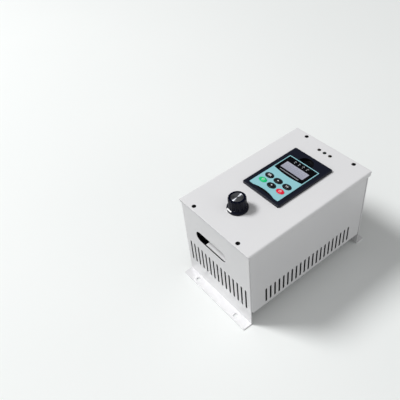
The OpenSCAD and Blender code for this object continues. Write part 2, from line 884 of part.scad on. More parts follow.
module heatsink_screws() color(zinc) translate([0, sink_y, foot_gap]) corners(sink_screw_x, sink_screw_y)
    rotate([180, 0, 0]) m3_screw(sink_screw_l);

module chip_places() for (i = [0 : chip_n - 1])
    translate([(i - (chip_n - 1) / 2) * chip_pitch, chip_y, sink_z]) children();

module bridge_place() translate([0, bridge_y, sink_z]) children();

// A flat power package with its screw hole at the origin and its leads turned up to the board
module power_package(w, l, h, n, pitch) difference() {
    union() {
        translate([-w / 2, chip_hole_in - l, 0]) cube([w, l, h]);
        for (i = [0 : n - 1])
            translate([(i - (n - 1) / 2) * pitch - lead_w / 2,
                chip_hole_in - l - lead_out, h / 2 - lead_t / 2]) {
                cube([lead_w, lead_out + over, lead_t]);
                cube([lead_w, lead_t, spacer_h - h / 2 + lead_t / 2]);
            }
    }
    translate([0, 0, -over]) cylinder(r = chip_hole_r, h = h + 2 * over);
}

module power_transistors() color(black) chip_places()
    power_package(chip_w, chip_l, chip_h, chip_lead_n, lead_pitch);

module transistor_screws() color(zinc) {
    chip_places() translate([0, 0, chip_h]) m3_screw(chip_screw_l);
    bridge_place() translate([0, 0, bridge_h]) m3_screw(chip_screw_l);
}

module bridge_rectifier() color(black) bridge_place()
    power_package(bridge_w, bridge_l, bridge_h, bridge_lead_n, bridge_lead_pitch);

// The power board and the parts on it

module on_board(x, y) translate([x, sink_y + y, board_top]) children();

module power_board() color(board_green) translate([0, sink_y, board_z]) difference() {
    linear_extrude(board_t) rrect(board_w, board_l, pcb_r);
    corners(spacer_x, spacer_y) translate([0, 0, -over])
        cylinder(r = m3_r + hole_gap, h = board_t + 2 * over);
}

module board_spacers() color(brass) translate([0, sink_y, sink_z]) corners(spacer_x, spacer_y)
    difference() {
        union() {
            hexagon(spacer_af, spacer_h);
            translate([0, 0, -spacer_stud]) cylinder(r = m3_r, h = spacer_stud + over);
        }
        translate([0, 0, spacer_h - spacer_bore]) cylinder(r = m3_r + thread_gap, h = spacer_bore + over);
    }

module board_screws() color(zinc) translate([0, sink_y, board_top]) corners(spacer_x, spacer_y)
    m3_screw(spacer_bore + board_t - over);

module smoothing_capacitors() color([0.1, 0.14, 0.3]) for (x = can_x) on_board(x, can_y)
    rotate_extrude() difference() {
        square([can_d / 2, can_h]);
        translate([can_d / 2, can_rim_h]) circle(can_bead);
        translate([0, can_h - can_bead / 2]) square([can_d / 2 - can_bead, can_bead]);
    }

module resonant_capacitors() color([0.8, 0.78, 0.72]) for (y = film_y) on_board(film_x, y)
    linear_extrude(film_h) rrect(film_l, film_w, film_r);

module choke_core() color([0.75, 0.7, 0.2]) on_board(choke_x, choke_y)
    translate([0, 0, choke_wire + choke_gap]) rotate_extrude()
        translate([choke_d / 2 * choke_bore_share, 0])
            square([choke_d / 2 * (1 - choke_bore_share), choke_h]);

// The choke's winding: one wire that goes round the core as it goes round the ring
choke_mid_r = choke_d / 4 * (1 + choke_bore_share);
choke_half_w = choke_d / 4 * (1 - choke_bore_share) + choke_gap + choke_wire / 2;
choke_half_h = choke_h / 2 + choke_gap + choke_wire / 2;
choke_mid_z = choke_wire + choke_gap + choke_h / 2;

function superellipse(c) = sign(c) * pow(abs(c), loop_r_share);
function choke_point(t) = let (a = choke_span * t, b = 360 * choke_turns * t,
    r = choke_mid_r + choke_half_w * superellipse(cos(b)))
    [r * cos(a), r * sin(a), choke_mid_z + choke_half_h * superellipse(sin(b))];
function unit(v) = v / norm(v);
function choke_ring(i, n) = let (t = i / n, p = choke_point(t),
    d = unit(choke_point(min(1, t + choke_step_share / n)) - choke_point(max(0, t - choke_step_share / n))),
    a = choke_span * t, side = unit(cross3(d, [-sin(a), cos(a), 0])), up = cross3(side, d))
    [for (k = [0 : choke_facets - 1]) p + choke_wire / 2 *
        (side * cos(360 * k / choke_facets) + up * sin(360 * k / choke_facets))];
function cross3(a, b) = [a[1] * b[2] - a[2] * b[1], a[2] * b[0] - a[0] * b[2],
    a[0] * b[1] - a[1] * b[0]];

// The least gap between turns of the winding, over points at least half a turn apart
function choke_least_gap(n) = min([for (i = [0 : n], j = [i + choke_steps / 2 : 1 : n])
    norm(choke_point(i / n) - choke_point(j / n))]) - choke_wire;

module choke_winding() color(copper) on_board(choke_x, choke_y) {
    n = choke_turns * choke_steps;
    echo("least gap in the choke's winding", choke_least_gap(n));
    m = choke_facets;
    points = [for (i = [0 : n]) each choke_ring(i, n)];
    sides = [for (i = [0 : n - 1], k = [0 : m - 1], h = [0, 1]) h == 0
        ? [i * m + k, i * m + (k + 1) % m, (i + 1) * m + (k + 1) % m]
        : [i * m + k, (i + 1) * m + (k + 1) % m, (i + 1) * m + k]];
    ends = [for (k = [1 : m - 2]) each [[0, k + 1, k], [n * m, n * m + k, n * m + k + 1]]];
    polyhedron(points, concat(sides, ends));
}

module current_transformer() color([0.1, 0.3, 0.6]) on_board(sensor_x, sensor_y) difference() {
    translate([0, 0, sensor_h / 2]) cube([sensor_w, sensor_l, sensor_h], center = true);
    translate([0, 0, sensor_h / 2 + over]) rotate([90, 0, 0])
        cylinder(r = sensor_bore_r, h = sensor_l + over, center = true);
}

module soft_start_relay() color([0.15, 0.35, 0.65]) on_board(relay_x, relay_y) {
    linear_extrude(relay_h) rrect(relay_w - relay_lip, relay_l - relay_lip, relay_lip);
    linear_extrude(2 * relay_lip) rrect(relay_w, relay_l, relay_lip);
}

module control_board() on_board(control_x, 0) {
    color(black) translate([-header_w / 2, -control_l * header_l_share / 2, 0])
        cube([header_w, control_l * header_l_share, header_h]);
    color(board_green) translate([-board_t / 2, -control_l / 2, header_h])
        cube([board_t, control_l, control_h]);
    color(black) translate([board_t / 2, -mcu_w / 2, header_h + control_h / 2 - mcu_w / 2])
        cube([mcu_t, mcu_w, mcu_w]);
    color("white") for (s = [-1, 1])
        translate([board_t / 2, s * control_l * plug_share - plug_l / 2,
            header_h + control_h - plug_h - plug_set])
            cube([plug_w, plug_l, plug_h]);
}

// The terminals, on a shelf behind the cable slot

module shelf_fixings() for (s = [-1, 1], y = [shelf_screw_in, shelf_d - shelf_screw_in])
    translate([shelf_x + s * (shelf_w / 2 - shelf_foot_in), shelf_y + y, deck_z]) children();

module shelf_outline() difference() {
    shelf_rise = shelf_z - deck_z;
    translate([shelf_x, deck_z + shelf_rise / 2]) difference() {
        rrect(shelf_w, shelf_rise, out_r);
        rrect(shelf_w - 2 * wall_t, shelf_rise - 2 * wall_t, bend_r);
    }
    translate([shelf_x - shelf_w / 2 + shelf_foot, deck_z - over])
        square([shelf_w - 2 * shelf_foot, wall_t + 2 * over]);
}

module terminal_shelf() color(paint) difference() {
    translate([0, shelf_y + shelf_d / 2, 0]) along_y(shelf_d) shelf_outline();
    translate([shelf_x, shelf_y + shelf_d / 2, (shelf_z + deck_z) / 2]) along_x(shelf_w + over)
        rotate(90) obround((shelf_z - deck_z) * shelf_window_share, shelf_d * shelf_window_share);
    shelf_fixings() translate([0, 0, -over]) cylinder(r = m3_r + hole_gap, h = wall_t + 2 * over);
    block_fixings() translate([0, 0, -wall_t - over]) cylinder(r = m3_r + thread_gap, h = wall_t + 2 * over);
}

module shelf_screws() color(zinc) shelf_fixings() translate([0, 0, wall_t]) m3_screw(shelf_screw_l);

module block_fixings() for (s = [-1, 1])
    translate([block_x + s * (pole_l + barrier_t + block_ear) / 2, block_y, shelf_z]) children();

module pole_places() for (i = [0 : pole_n - 1])
    translate([block_x + (i - (pole_n - 1) / 2) * pole_pitch, block_y, shelf_z]) children();

module terminal_block() color(black) difference() {
    union() {
        translate([block_x, block_y, shelf_z + block_base_h / 2])
            cube([pole_l + barrier_t, block_d, block_base_h], center = true);
        for (i = [0 : pole_n])
            translate([block_x + (i - pole_n / 2) * pole_pitch, block_y, shelf_z + block_h / 2])
                cube([barrier_t, block_d, block_h], center = true);
        translate([block_x, block_y, shelf_z + ear_h / 2])
            cube([pole_l + barrier_t + 2 * block_ear, block_d * ear_w_share, ear_h], center = true);
    }
    block_fixings() translate([0, 0, -over]) cylinder(r = m3_r + hole_gap, h = ear_h + 2 * over);
    pole_places() for (s = [-1, 1]) translate([0, s * tag_screw_y, block_base_h - block_screw_l + over])
        cylinder(r = m3_r + thread_gap, h = block_screw_l + over);
}

module terminal_screws() color(zinc) {
    pole_places() translate([0, 0, block_base_h]) {
        difference() {
            translate([0, 0, tag_t / 2]) cube([pole_pitch * tag_w_share, tag_l, tag_t], center = true);
            for (s = [-1, 1]) translate([0, s * tag_screw_y, -over])
                cylinder(r = m3_r, h = tag_t + 2 * over);
        }
        for (s = [-1, 1]) translate([0, s * tag_screw_y, tag_t]) m3_screw(block_screw_l - over);
    }
    block_fixings() translate([0, 0, ear_h]) m3_screw(ear_h + wall_t + over);
}

module earth_place() translate([earth_x, -half_l + earth_in, deck_z]) children();

module earth_stud() color(brass) earth_place() {
    translate([0, 0, -wall_t - stud_tip]) cylinder(r = m4_r, h = wall_t + stud_tip + earth_l);
    cylinder(r = washer_r, h = washer_t);
    translate([0, 0, washer_t]) hexagon(nut_af, nut_h);
}

// The keypad: a black frame with a pocket in the lid, and a unit that lifts out of it

module keypad_bezel() color(black) difference() {
    union() {
        translate([0, bezel_y, case_h]) hull() {
            linear_extrude(bezel_h - bezel_cham) rrect(bezel_w, bezel_l, bezel_r);
            linear_extrude(bezel_h)
                rrect(bezel_w - 2 * bezel_cham, bezel_l - 2 * bezel_cham, bezel_r - bezel_cham);
        }
        translate([0, cut_y, neck_z]) linear_extrude(case_h - neck_z)
            rrect(cut_w - 2 * part_gap, cut_l - 2 * part_gap, bezel_r - part_gap);
        translate([0, unit_y, tray_z]) linear_extrude(case_h - tray_z)
            rrect(tray_w, tray_l, unit_r + shell_t);
        for (s = [-1, 1], y = [-1, 1])
            translate([s * (cut_w / 2 - part_gap), cut_y + y * hook_y, roof_z - hook_h / 2 - thread_gap])
                cube([2 * hook_out, hook_l, hook_h], center = true);
    }
    translate([0, unit_y, unit_z]) linear_extrude(unit_h + over)
        rrect(unit_w + 2 * unit_gap, unit_l + 2 * unit_gap, unit_r + unit_gap);
    translate([0, unit_y + unit_l / 2, bezel_top - finger_h]) cylinder(r = finger_r, h = finger_h + over);
    translate([0, socket_y, tray_z - over]) linear_extrude(shell_t + 2 * over)
        rrect(socket_w - 2 * socket_t, socket_l - 2 * socket_t, socket_r);
}

module keypad_socket() color([0.2, 0.2, 0.22]) translate([0, socket_y, tray_z - socket_h])
    difference() {
        union() {
            linear_extrude(socket_h) rrect(socket_w, socket_l, socket_r);
            translate([0, 0, socket_h - socket_t]) linear_extrude(socket_t)
                rrect(socket_w + 2 * socket_flange, socket_l, socket_r);
        }
        translate([0, 0, socket_t]) linear_extrude(socket_h)
            rrect(socket_w - 2 * socket_t, socket_l - 2 * socket_t, socket_r);
    }

module crescent(h) translate([0, unit_y + crescent_y, 0]) cylinder(r = crescent_r, h = h, $fn = 180);

// The place of key i, counted from the lower left
module key_place(i) translate([(i % key_cols - 1) * key_pitch_x,
    key_y + floor(i / key_cols) * key_pitch_y, 0]) children();

module key_places() for (i = [0 : 2 * key_cols - 1]) key_place(i) children();

module light_places() for (i = [0 : light_n - 1])
    translate([(i - (light_n - 1) / 2) * light_pitch, light_y, 0]) children();

module key_holes(z, h) key_places() translate([0, 0, z])
    linear_extrude(h) oval(key_w + 2 * key_gap, key_l + 2 * key_gap);

module keypad_case() color(black) difference() {
    union() {
        translate([0, unit_y, unit_z + back_t]) linear_extrude(overlay_z - unit_z - back_t) difference() {
            rrect(unit_w, unit_l, unit_r);
            rrect(unit_w - 2 * shell_t, unit_l - 2 * shell_t, unit_r / 2);
        }
        translate([0, unit_y, plate_z]) linear_extrude(shell_t) rrect(unit_w, unit_l, unit_r);
        translate([0, unit_y, pcb_top]) corners(post_x, post_y)
            cylinder(r = post_r, h = plate_z - pcb_top + shell_t / 2);
    }
    translate([0, 0, unit_top - crescent_d]) crescent(crescent_d);
    key_holes(plate_z - over, shell_t + 2 * over);
    translate([0, window_y, plate_z - over]) linear_extrude(shell_t + 2 * over)
        square([window_l - 2 * window_lap, window_w - 2 * window_lap], center = true);
    light_places() translate([0, 0, plate_z - over])
        cylinder(r = light_r + thread_gap, h = shell_t + 2 * over);
    translate([0, unit_y, pcb_top - over]) corners(post_x, post_y)
        cylinder(r = m2_r + thread_gap, h = keypad_screw_l + over);
}

module keypad_back() color(black) {
    translate([0, unit_y, unit_z]) linear_extrude(back_t) rrect(unit_w, unit_l, unit_r);
    translate([0, socket_y, unit_z - pin_h]) linear_extrude(pin_h + over / 2)
        square([socket_w - 2 * socket_t - 2 * pin_gap, socket_l - 2 * socket_t - 2 * pin_gap], center = true);
}

module field_outline(gap) intersection() {
    translate([-field_w / 2 + gap, field_y - over])
        square([field_w - 2 * gap, field_top - field_y + over - gap]);
    translate([0, field_y + field_r]) circle(field_r - gap, $fn = 240);
}

module keypad_overlay() color(teal) translate([0, 0, overlay_z]) difference() {
    translate([0, unit_y, 0]) linear_extrude(overlay_t) rrect(unit_w, unit_l, unit_r);
    translate([0, 0, -over]) linear_extrude(overlay_t + 2 * over) field_outline(0);
    translate([0, 0, -over]) crescent(overlay_t + 2 * over);
    key_holes(-over, overlay_t + 2 * over);
}

module display_field() color(black) translate([0, 0, overlay_z]) difference() {
    linear_extrude(overlay_t) field_outline(thread_gap);
    translate([0, window_y, -over]) linear_extrude(overlay_t + 2 * over)
        square([window_l, window_w], center = true);
    light_places() translate([0, 0, -over])
        cylinder(r = light_r + thread_gap, h = overlay_t + 2 * over);
}

module display_window() color(glass_grey) translate([0, window_y, overlay_z])
    linear_extrude(overlay_t - window_set)
        square([window_l - 2 * thread_gap, window_w - 2 * thread_gap], center = true);

module display_module() color([0.3, 0.3, 0.33]) translate([0, window_y, pcb_top])
    linear_extrude(overlay_z - pcb_top)
        square([window_l - 2 * display_in, window_w - 2 * display_in], center = true);

module keypad_board() color(board_green) translate([0, unit_y, pcb_z]) difference() {
    linear_extrude(board_t)
        rrect(unit_w - 2 * shell_t - 2 * pcb_in, unit_l - 2 * shell_t - 2 * pcb_in, pcb_r);
    corners(post_x, post_y) translate([0, 0, -over])
        cylinder(r = m2_r + hole_gap, h = board_t + 2 * over);
}

module key_switches() color([0.55, 0.56, 0.58]) key_places() translate([0, 0, pcb_top]) {
    translate([0, 0, switch_h * switch_body_share / 2])
        cube([switch_w, switch_w, switch_h * switch_body_share], center = true);
    cylinder(r = switch_w * switch_dome_share, h = switch_h);
}

module keypad_screws() color(zinc) translate([0, unit_y, pcb_z]) corners(post_x, post_y)
    rotate([180, 0, 0]) pan_screw(m2_r, m2_head_r, m2_head_h, keypad_screw_l);

module status_lights() color([0.75, 0.78, 0.8]) light_places() translate([0, 0, plate_z])
    cylinder(r = light_r, h = unit_top - plate_z);

// A crowned oval key with a flange that holds it under the case's face
module key_cap(i, tint) color(tint) key_place(i) {
    top = unit_top + key_up;
    intersection() {
        translate([0, 0, key_flange_z]) linear_extrude(top - key_flange_z) oval(key_w, key_l);
        translate([0, 0, top - key_crown_r]) sphere(key_crown_r, $fn = 96);
    }
    translate([0, 0, key_flange_z]) linear_extrude(key_flange_h)
        oval(key_w + 2 * key_flange, key_l + 2 * key_flange);
}

module key_run() key_cap(0, [0.1, 0.75, 0.45]);
module key_down() key_cap(1, black);
module key_stop() key_cap(2, [0.85, 0.12, 0.16]);
module key_top_left() key_cap(3, black);
module key_up() key_cap(4, black);
module key_top_right() key_cap(5, black);

// The knob on its potentiometer, which hangs under the lid

module knob_place() translate([knob_x, knob_y, case_h]) children();

module potentiometer_body() color(steel) knob_place() difference() {
    union() {
        translate([0, 0, -lid_t - pot_h]) cylinder(d = pot_d, h = pot_h);
        translate([0, 0, -lid_t - over]) cylinder(r = bush_r, h = lid_t + over + bush_h);
        for (i = [-1 : 1]) rotate([0, 0, 90 + i * pot_tag_a])
            translate([pot_d / 2 - over, -pot_tag_w / 2, -lid_t - pot_h + over])
                cube([pot_tag_l + over, pot_tag_w, pot_tag_t]);
    }
    translate([0, 0, -lid_t - shaft_low])
        cylinder(d = shaft_d + 2 * thread_gap, h = lid_t + shaft_low + bush_h + over);
}

module potentiometer_nut() color(zinc) knob_place() difference() {
    union() {
        cylinder(r = pot_washer_r, h = pot_washer_t);
        translate([0, 0, pot_washer_t]) hexagon(pot_nut_af, pot_nut_h);
    }
    translate([0, 0, -over]) cylinder(r = bush_r + thread_gap, h = pot_nut_h + pot_washer_t + 2 * over);
}

module potentiometer_shaft() color(aluminium) knob_place()
    translate([0, 0, -lid_t - shaft_low + thread_gap])
        cylinder(d = shaft_d, h = lid_t + shaft_low - thread_gap + knob_h - shaft_top_gap);

module knob_outline() {
    top_r = knob_top_d / 2;
    base_r = knob_base_d / 2;
    low = knob_gap;
    polygon([[0, low], [skirt_d / 2, low], [skirt_d / 2, low + skirt_h],
        [base_r, low + skirt_h + skirt_slope_h],
        [top_r, knob_h - knob_edge_r], [top_r - knob_edge_r, knob_h], [0, knob_h]]);
}

module knob() color(black) knob_place() difference() {
    rotate_extrude() knob_outline();
    flute_z = knob_gap + skirt_h + skirt_slope_h + flute_r;
    for (i = [0 : flute_n - 1]) rotate([0, 0, 360 * (i + 1 / 2) / flute_n])
        translate([knob_top_d / 2 + flute_r * flute_in_share, 0, flute_z]) {
            cylinder(r = flute_r, h = knob_h);
            sphere(flute_r);
        }
    translate([0, 0, -over]) cylinder(r = knob_cavity_r, h = knob_floor + over);
    translate([0, 0, knob_floor - over]) cylinder(r = insert_r + thread_gap, h = insert_h + over);
    cylinder(d = shaft_d + 2 * thread_gap, h = knob_h - shaft_top_gap + part_gap);
    translate([0, 0, knob_h - cap_t - cap_sink])
        cylinder(d = cap_d + 2 * thread_gap, h = cap_t + cap_sink + over);
    pointer_space(thread_gap);
    rotate([0, 0, pointer_a]) translate([0, 0, knob_floor + insert_h / 2]) rotate([0, 90, 0])
        cylinder(r = grub_r + hole_gap, h = skirt_d);
}

// The pointer lies in the slope of the skirt and runs down its edge
module pointer_space(gap) rotate([0, 0, pointer_a])
    translate([skirt_d / 2 - pointer_l / 2 - pointer_t - gap + (pointer_l + over) / 2, 0,
        knob_gap + (skirt_h + skirt_slope_h) / 2])
        cube([pointer_l + over, pointer_w + 2 * gap, skirt_h + skirt_slope_h + over], center = true);

module knob_pointer() color("white") knob_place() intersection() {
    rotate_extrude() knob_outline();
    pointer_space(0);
}

module knob_insert() color(brass) knob_place() {
    difference() {
        translate([0, 0, knob_floor]) cylinder(r = insert_r, h = insert_h);
        cylinder(d = shaft_d + 2 * thread_gap, h = knob_h);
    }
    rotate([0, 0, pointer_a]) translate([insert_r - over, 0, knob_floor + insert_h / 2])
        rotate([0, 90, 0]) cylinder(r = grub_r, h = knob_top_d / 2 - insert_r + over - grub_set);
}

module knob_cap() color(aluminium) knob_place() translate([0, 0, knob_h - cap_t - cap_sink])
    cylinder(d = cap_d, h = cap_t);

// The indicator lamps, in clips under the lid

module lamps() for (i = [-1, 0, 1]) translate([i * lamp_pitch, lamp_y, 0]) children();

module lamp_holders() color(black) lamps() translate([0, 0, roof_z - holder_h]) difference() {
    cylinder(r = holder_r, h = holder_h);
    translate([0, 0, -over]) cylinder(r = lamp_d / 2 + thread_gap, h = holder_h + 2 * over);
}

module lamp(i, tint) color(tint) translate([i * lamp_pitch, lamp_y, 0]) {
    dome_z = case_h + lamp_up - lamp_d / 2;
    translate([0, 0, roof_z - lamp_low]) cylinder(d = lamp_d, h = dome_z - roof_z + lamp_low);
    translate([0, 0, dome_z]) intersection() {
        sphere(d = lamp_d);
        cylinder(d = lamp_d, h = lamp_d);
    }
    translate([0, 0, roof_z - lamp_low]) cylinder(r = lamp_d / 2 + lamp_rim, h = lamp_low - holder_h);
}

module lamp_left() lamp(-1, [0.35, 0.05, 0.06]);
module lamp_middle() lamp(0, [0.03, 0.25, 0.14]);
module lamp_right() lamp(1, [0.35, 0.27, 0.06]);

base_shell();
front_end_panel();
rear_end_panel();
lid();
lid_screws();
fan_frame();
fan_rotor();
fan_guard();
fan_screws();
heatsink();
heatsink_screws();
power_transistors();
transistor_screws();
bridge_rectifier();
power_board();
board_spacers();
board_screws();
smoothing_capacitors();
resonant_capacitors();
choke_core();
choke_winding();
current_transformer();
soft_start_relay();
control_board();
terminal_shelf();
shelf_screws();
terminal_block();
terminal_screws();
earth_stud();
keypad_bezel();
keypad_socket();
keypad_case();
keypad_back();
keypad_overlay();
display_field();
display_window();
display_module();
keypad_board();
key_switches();
keypad_screws();
status_lights();
key_top_left();
key_up();
key_top_right();
key_run();
key_down();
key_stop();
potentiometer_body();
potentiometer_nut();
potentiometer_shaft();
knob();
knob_insert();
knob_cap();
knob_pointer();
lamp_holders();
lamp_left();
lamp_middle();
lamp_right();
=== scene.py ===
# Induction heating machine: the looks of its pieces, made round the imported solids
import math

import bmesh
import bpy
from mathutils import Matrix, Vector


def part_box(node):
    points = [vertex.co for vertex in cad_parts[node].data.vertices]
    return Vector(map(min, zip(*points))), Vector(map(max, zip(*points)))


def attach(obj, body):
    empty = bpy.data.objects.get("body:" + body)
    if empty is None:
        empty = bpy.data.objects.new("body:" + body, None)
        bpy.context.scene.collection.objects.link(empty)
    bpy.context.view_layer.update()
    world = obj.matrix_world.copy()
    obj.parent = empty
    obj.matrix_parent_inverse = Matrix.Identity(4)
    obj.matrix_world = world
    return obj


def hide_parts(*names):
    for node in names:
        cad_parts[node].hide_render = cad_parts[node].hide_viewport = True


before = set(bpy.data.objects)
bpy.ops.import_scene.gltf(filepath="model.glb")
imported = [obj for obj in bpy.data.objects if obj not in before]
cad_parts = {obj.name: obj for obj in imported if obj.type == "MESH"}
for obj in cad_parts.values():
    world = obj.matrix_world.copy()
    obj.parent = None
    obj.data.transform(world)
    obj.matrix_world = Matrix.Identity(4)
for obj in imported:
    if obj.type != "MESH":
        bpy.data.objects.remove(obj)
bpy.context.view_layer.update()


# The case is folded from mild steel sheet: a U-shaped base, two end panels whose feet turn out to
# the mounting holes, and a flat lid with lips down its long sides. Each is sprayed with white
# polyester powder and baked before the case is screwed up.

MM = 0.001


def linear(hex_colour):
    """The linear value of an sRGB colour."""
    parts = [int(hex_colour[i:i + 2], 16) / 255 for i in (1, 3, 5)]
    return [p / 12.92 if p <= 0.04045 else ((p + 0.055) / 1.055) ** 2.4 for p in parts] + [1]


def add_node(tree, kind, sockets, **settings):
    """Adds a node with its settings, values and links."""
    made = tree.nodes.new("ShaderNode" + kind)
    for name, value in settings.items():
        setattr(made, name, value)
    for name, value in sockets.items():
        if isinstance(value, bpy.types.NodeSocket):
            tree.links.new(value, made.inputs[name])
        else:
            made.inputs[name].default_value = value
    return made


def start_material(name):
    """An empty material and its node tree."""
    material = bpy.data.materials.new(name)
    material.use_nodes = True
    material.node_tree.nodes.clear()
    return material, material.node_tree


def place_in(tree, stretch=(1, 1, 1)):
    """The place on the piece in metres, stretched where a grain runs one way."""
    where = add_node(tree, "TexCoord", {})
    moved = add_node(tree, "Mapping", {"Vector": where.outputs["Object"], "Scale": stretch})
    return moved.outputs[0]


def drift(tree, where, patch_mm, dark, light):
    """A colour that wanders between two near tones over patches of a real size."""
    patches = add_node(tree, "TexNoise", {"Vector": where, "Scale": 1 / (patch_mm * MM),
                                          "Detail": 2})
    return add_node(tree, "Mix", {0: patches.outputs["Fac"], 6: linear(dark), 7: linear(light)},
                    data_type="RGBA").outputs[2]


def relief(tree, where, bump_mm, depth_mm, edge_mm):
    """Fine bumps of a real size and depth over edges rounded by a real radius."""
    bumps = add_node(tree, "TexNoise", {"Vector": where, "Scale": 1 / (bump_mm * MM), "Detail": 2})
    rounded = add_node(tree, "Bevel", {"Radius": edge_mm * MM}, samples=6)
    return add_node(tree, "Bump", {"Height": bumps.outputs["Fac"], "Distance": depth_mm * MM,
                                   "Strength": 1, "Normal": rounded.outputs[0]}).outputs[0]


def dress(material, *nodes):
    """Gives CAD nodes a material in place of their plain one."""
    for name in nodes:
        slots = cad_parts[name].data.materials
        slots.clear()
        slots.append(material)


# The walls are 1.2 mm thick, the ends and the lid 1.5 mm. The painted shade inside starts 0.05 mm
# short of their inner faces, and the white of the powder reaches 0.3 mm into the cut edges of the
# vents before the painted shade begins.
WALL_MM, END_MM, EDGE_COAT_MM = 1.15, 1.45, 0.3

# Orange peel about 1.5 mm across breaks up the gloss of the powder, and it rounds the edges.
ORANGE_PEEL = {"bump_mm": 1.5, "depth_mm": 0.006, "edge_mm": 0.45}


def coated_case():
    """Polyester powder coat, semi-gloss white. The inside and the cut edges of the narrow vents are
    painted shade: a near black grey where little light reaches into the case."""
    material, tree = start_material("powder coated steel sheet, bare inside")
    where = place_in(tree)
    low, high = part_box("base_shell")
    floor_z, lid_z = low.z + WALL_MM * MM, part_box("lid")[1].z - END_MM * MM
    centre, rise = Vector((0, 0, (lid_z + floor_z) / 2)), (lid_z - floor_z) / 2
    off = add_node(tree, "VectorMath", {0: where, 1: centre}, operation="SUBTRACT")
    off = add_node(tree, "VectorMath", {0: off.outputs[0]}, operation="ABSOLUTE")
    # The painted shade inside is two boxes in one: a wide one through the walls, a long one through
    # the ends
    wide = Vector((high.x - EDGE_COAT_MM * MM, high.y - WALL_MM * MM, rise))
    long = Vector((high.x - WALL_MM * MM, high.y + (END_MM - EDGE_COAT_MM) * MM, rise))
    masks = []
    for half in (wide, long):
        share = add_node(tree, "VectorMath", {0: off.outputs[0], 1: half}, operation="DIVIDE")
        axes = add_node(tree, "SeparateXYZ", {"Vector": share.outputs[0]}).outputs
        most = add_node(tree, "Math", {0: axes[0], 1: axes[1]}, operation="MAXIMUM")
        most = add_node(tree, "Math", {0: most.outputs[0], 1: axes[2]}, operation="MAXIMUM")
        masks.append(add_node(tree, "Math", {0: most.outputs[0], 1: 1.0}, operation="LESS_THAN"))
    inside = add_node(tree, "Math", {0: masks[0].outputs[0], 1: masks[1].outputs[0]},
                      operation="MAXIMUM")
    powder = drift(tree, where, patch_mm=60, dark="#E3E3E5", light="#E7E7E8")
    # Painted shade: a near black grey for the inside of the case and the cut edges of its vents,
    # where little light falls
    painted_shade = drift(tree, where, patch_mm=9, dark="#232527", light="#2E3032")
    colour = add_node(tree, "Mix", {0: inside.outputs[0], 6: powder, 7: painted_shade}, data_type="RGBA")
    surface = add_node(tree, "BsdfPrincipled", {
        "Base Color": colour.outputs[2], "Roughness": 0.23, "Specular IOR Level": 0.55,
        "Normal": relief(tree, where, **ORANGE_PEEL)})
    add_node(tree, "OutputMaterial", {"Surface": surface.outputs[0]})
    return material


dress(coated_case(), "base_shell", "front_end_panel", "rear_end_panel", "lid")


# Four countersunk M3 screws of black zinc plated steel hold the lid to the end panels' flanges.
# They are cold headed, and their cross recesses are punched.

def finish(name, dark, light, patch_mm, bump_mm, depth_mm, edge_mm, roughness,
           stretch=(1, 1, 1), shader=None):
    """A material of one stuff, with a drift of colour, a relief and rounded edges. A grain under
    about 0.2 mm wouldn't show in the render, so its bump_mm is a few times the real size."""
    material, tree = start_material(name)
    where = place_in(tree, stretch)
    surface = add_node(tree, "BsdfPrincipled", {
        "Base Color": drift(tree, where, patch_mm, dark, light), "Roughness": roughness,
        "Normal": relief(tree, where, bump_mm, depth_mm, edge_mm), **(shader or {})})
    add_node(tree, "OutputMaterial", {"Surface": surface.outputs[0]})
    return material


# Black passivated zinc is thin, so edges stay crisp and catch a dull grey glint. Its grain is finer
# than 0.1 mm, and is drawn at 0.3 mm so that it shows.
black_zinc = finish("black zinc plated steel", "#17171A", "#232326", patch_mm=2, bump_mm=0.3,
                    depth_mm=0.004, edge_mm=0.12, roughness=0.38, shader={"Metallic": 0.85})
dress(black_zinc, "lid_screws")


# The fan at the rear is a square 80 mm axial one, moulded in black PBT. A guard of nickel plated
# wire, spot welded at its crossings, covers it, and four zinc plated screws hold both to the panel.

# Moulded PBT is a soft dark satin. The grain of its mould is about 0.1 mm, drawn at 0.5 mm.
black_pbt = finish("black moulded PBT", "#121214", "#19191C", patch_mm=30, bump_mm=0.5,
                   depth_mm=0.01, edge_mm=0.3, roughness=0.42)

# The blades come from a smoother mould, so they shine a little more than the frame.
rotor_pbt = finish("black moulded PBT of the blades", "#161618", "#1D1D20", patch_mm=25,
                   bump_mm=0.4, depth_mm=0.008, edge_mm=0.2, roughness=0.34)

# Bright nickel on drawn wire: a warm silver that gathers what is near it in thin streaks.
nickel_wire = finish("bright nickel plated wire", "#B9B7B0", "#C8C6C0", patch_mm=6, bump_mm=0.8,
                     depth_mm=0.006, edge_mm=0.05, roughness=0.24, shader={"Metallic": 1})

# Zinc plate is a cooler silver, whose fine crystals, drawn at 0.5 mm, break up its glints.
zinc_plate = finish("zinc plated steel", "#A9ABA9", "#BFC0BC", patch_mm=3, bump_mm=0.5,
                    depth_mm=0.006, edge_mm=0.1, roughness=0.33, shader={"Metallic": 1})

dress(black_pbt, "fan_frame")
dress(rotor_pbt, "fan_rotor")
dress(nickel_wire, "fan_guard")
dress(zinc_plate, "fan_screws")


# The heatsink is an extruded aluminium profile, cut to length and screwed to the base. The power
# devices, moulded in black epoxy, are screwed flat to its plate.

# The lines of the die run along the profile, 0.35 mm apart and about 12 mm long, and draw the
# light out across them.
extruded = finish("extruded aluminium", "#9A9CA0", "#B4B6B9", patch_mm=3, bump_mm=0.35,
                  depth_mm=0.01, edge_mm=0.15, roughness=0.36, stretch=(1, 0.03, 1),
                  shader={"Metallic": 1})

# Moulded epoxy filled with silica is a dull black, matt at its edges.
black_epoxy = finish("black moulded epoxy", "#161617", "#1E1E20", patch_mm=8, bump_mm=0.25,
                     depth_mm=0.008, edge_mm=0.2, roughness=0.55)

dress(extruded, "heatsink")
dress(black_epoxy, "power_transistors", "bridge_rectifier")
dress(zinc_plate, "heatsink_screws", "transistor_screws")


# The circuit boards are glass epoxy laminate with etched copper, screen printed with green solder
# mask. The power board is screwed to four turned brass spacers over the heatsink.

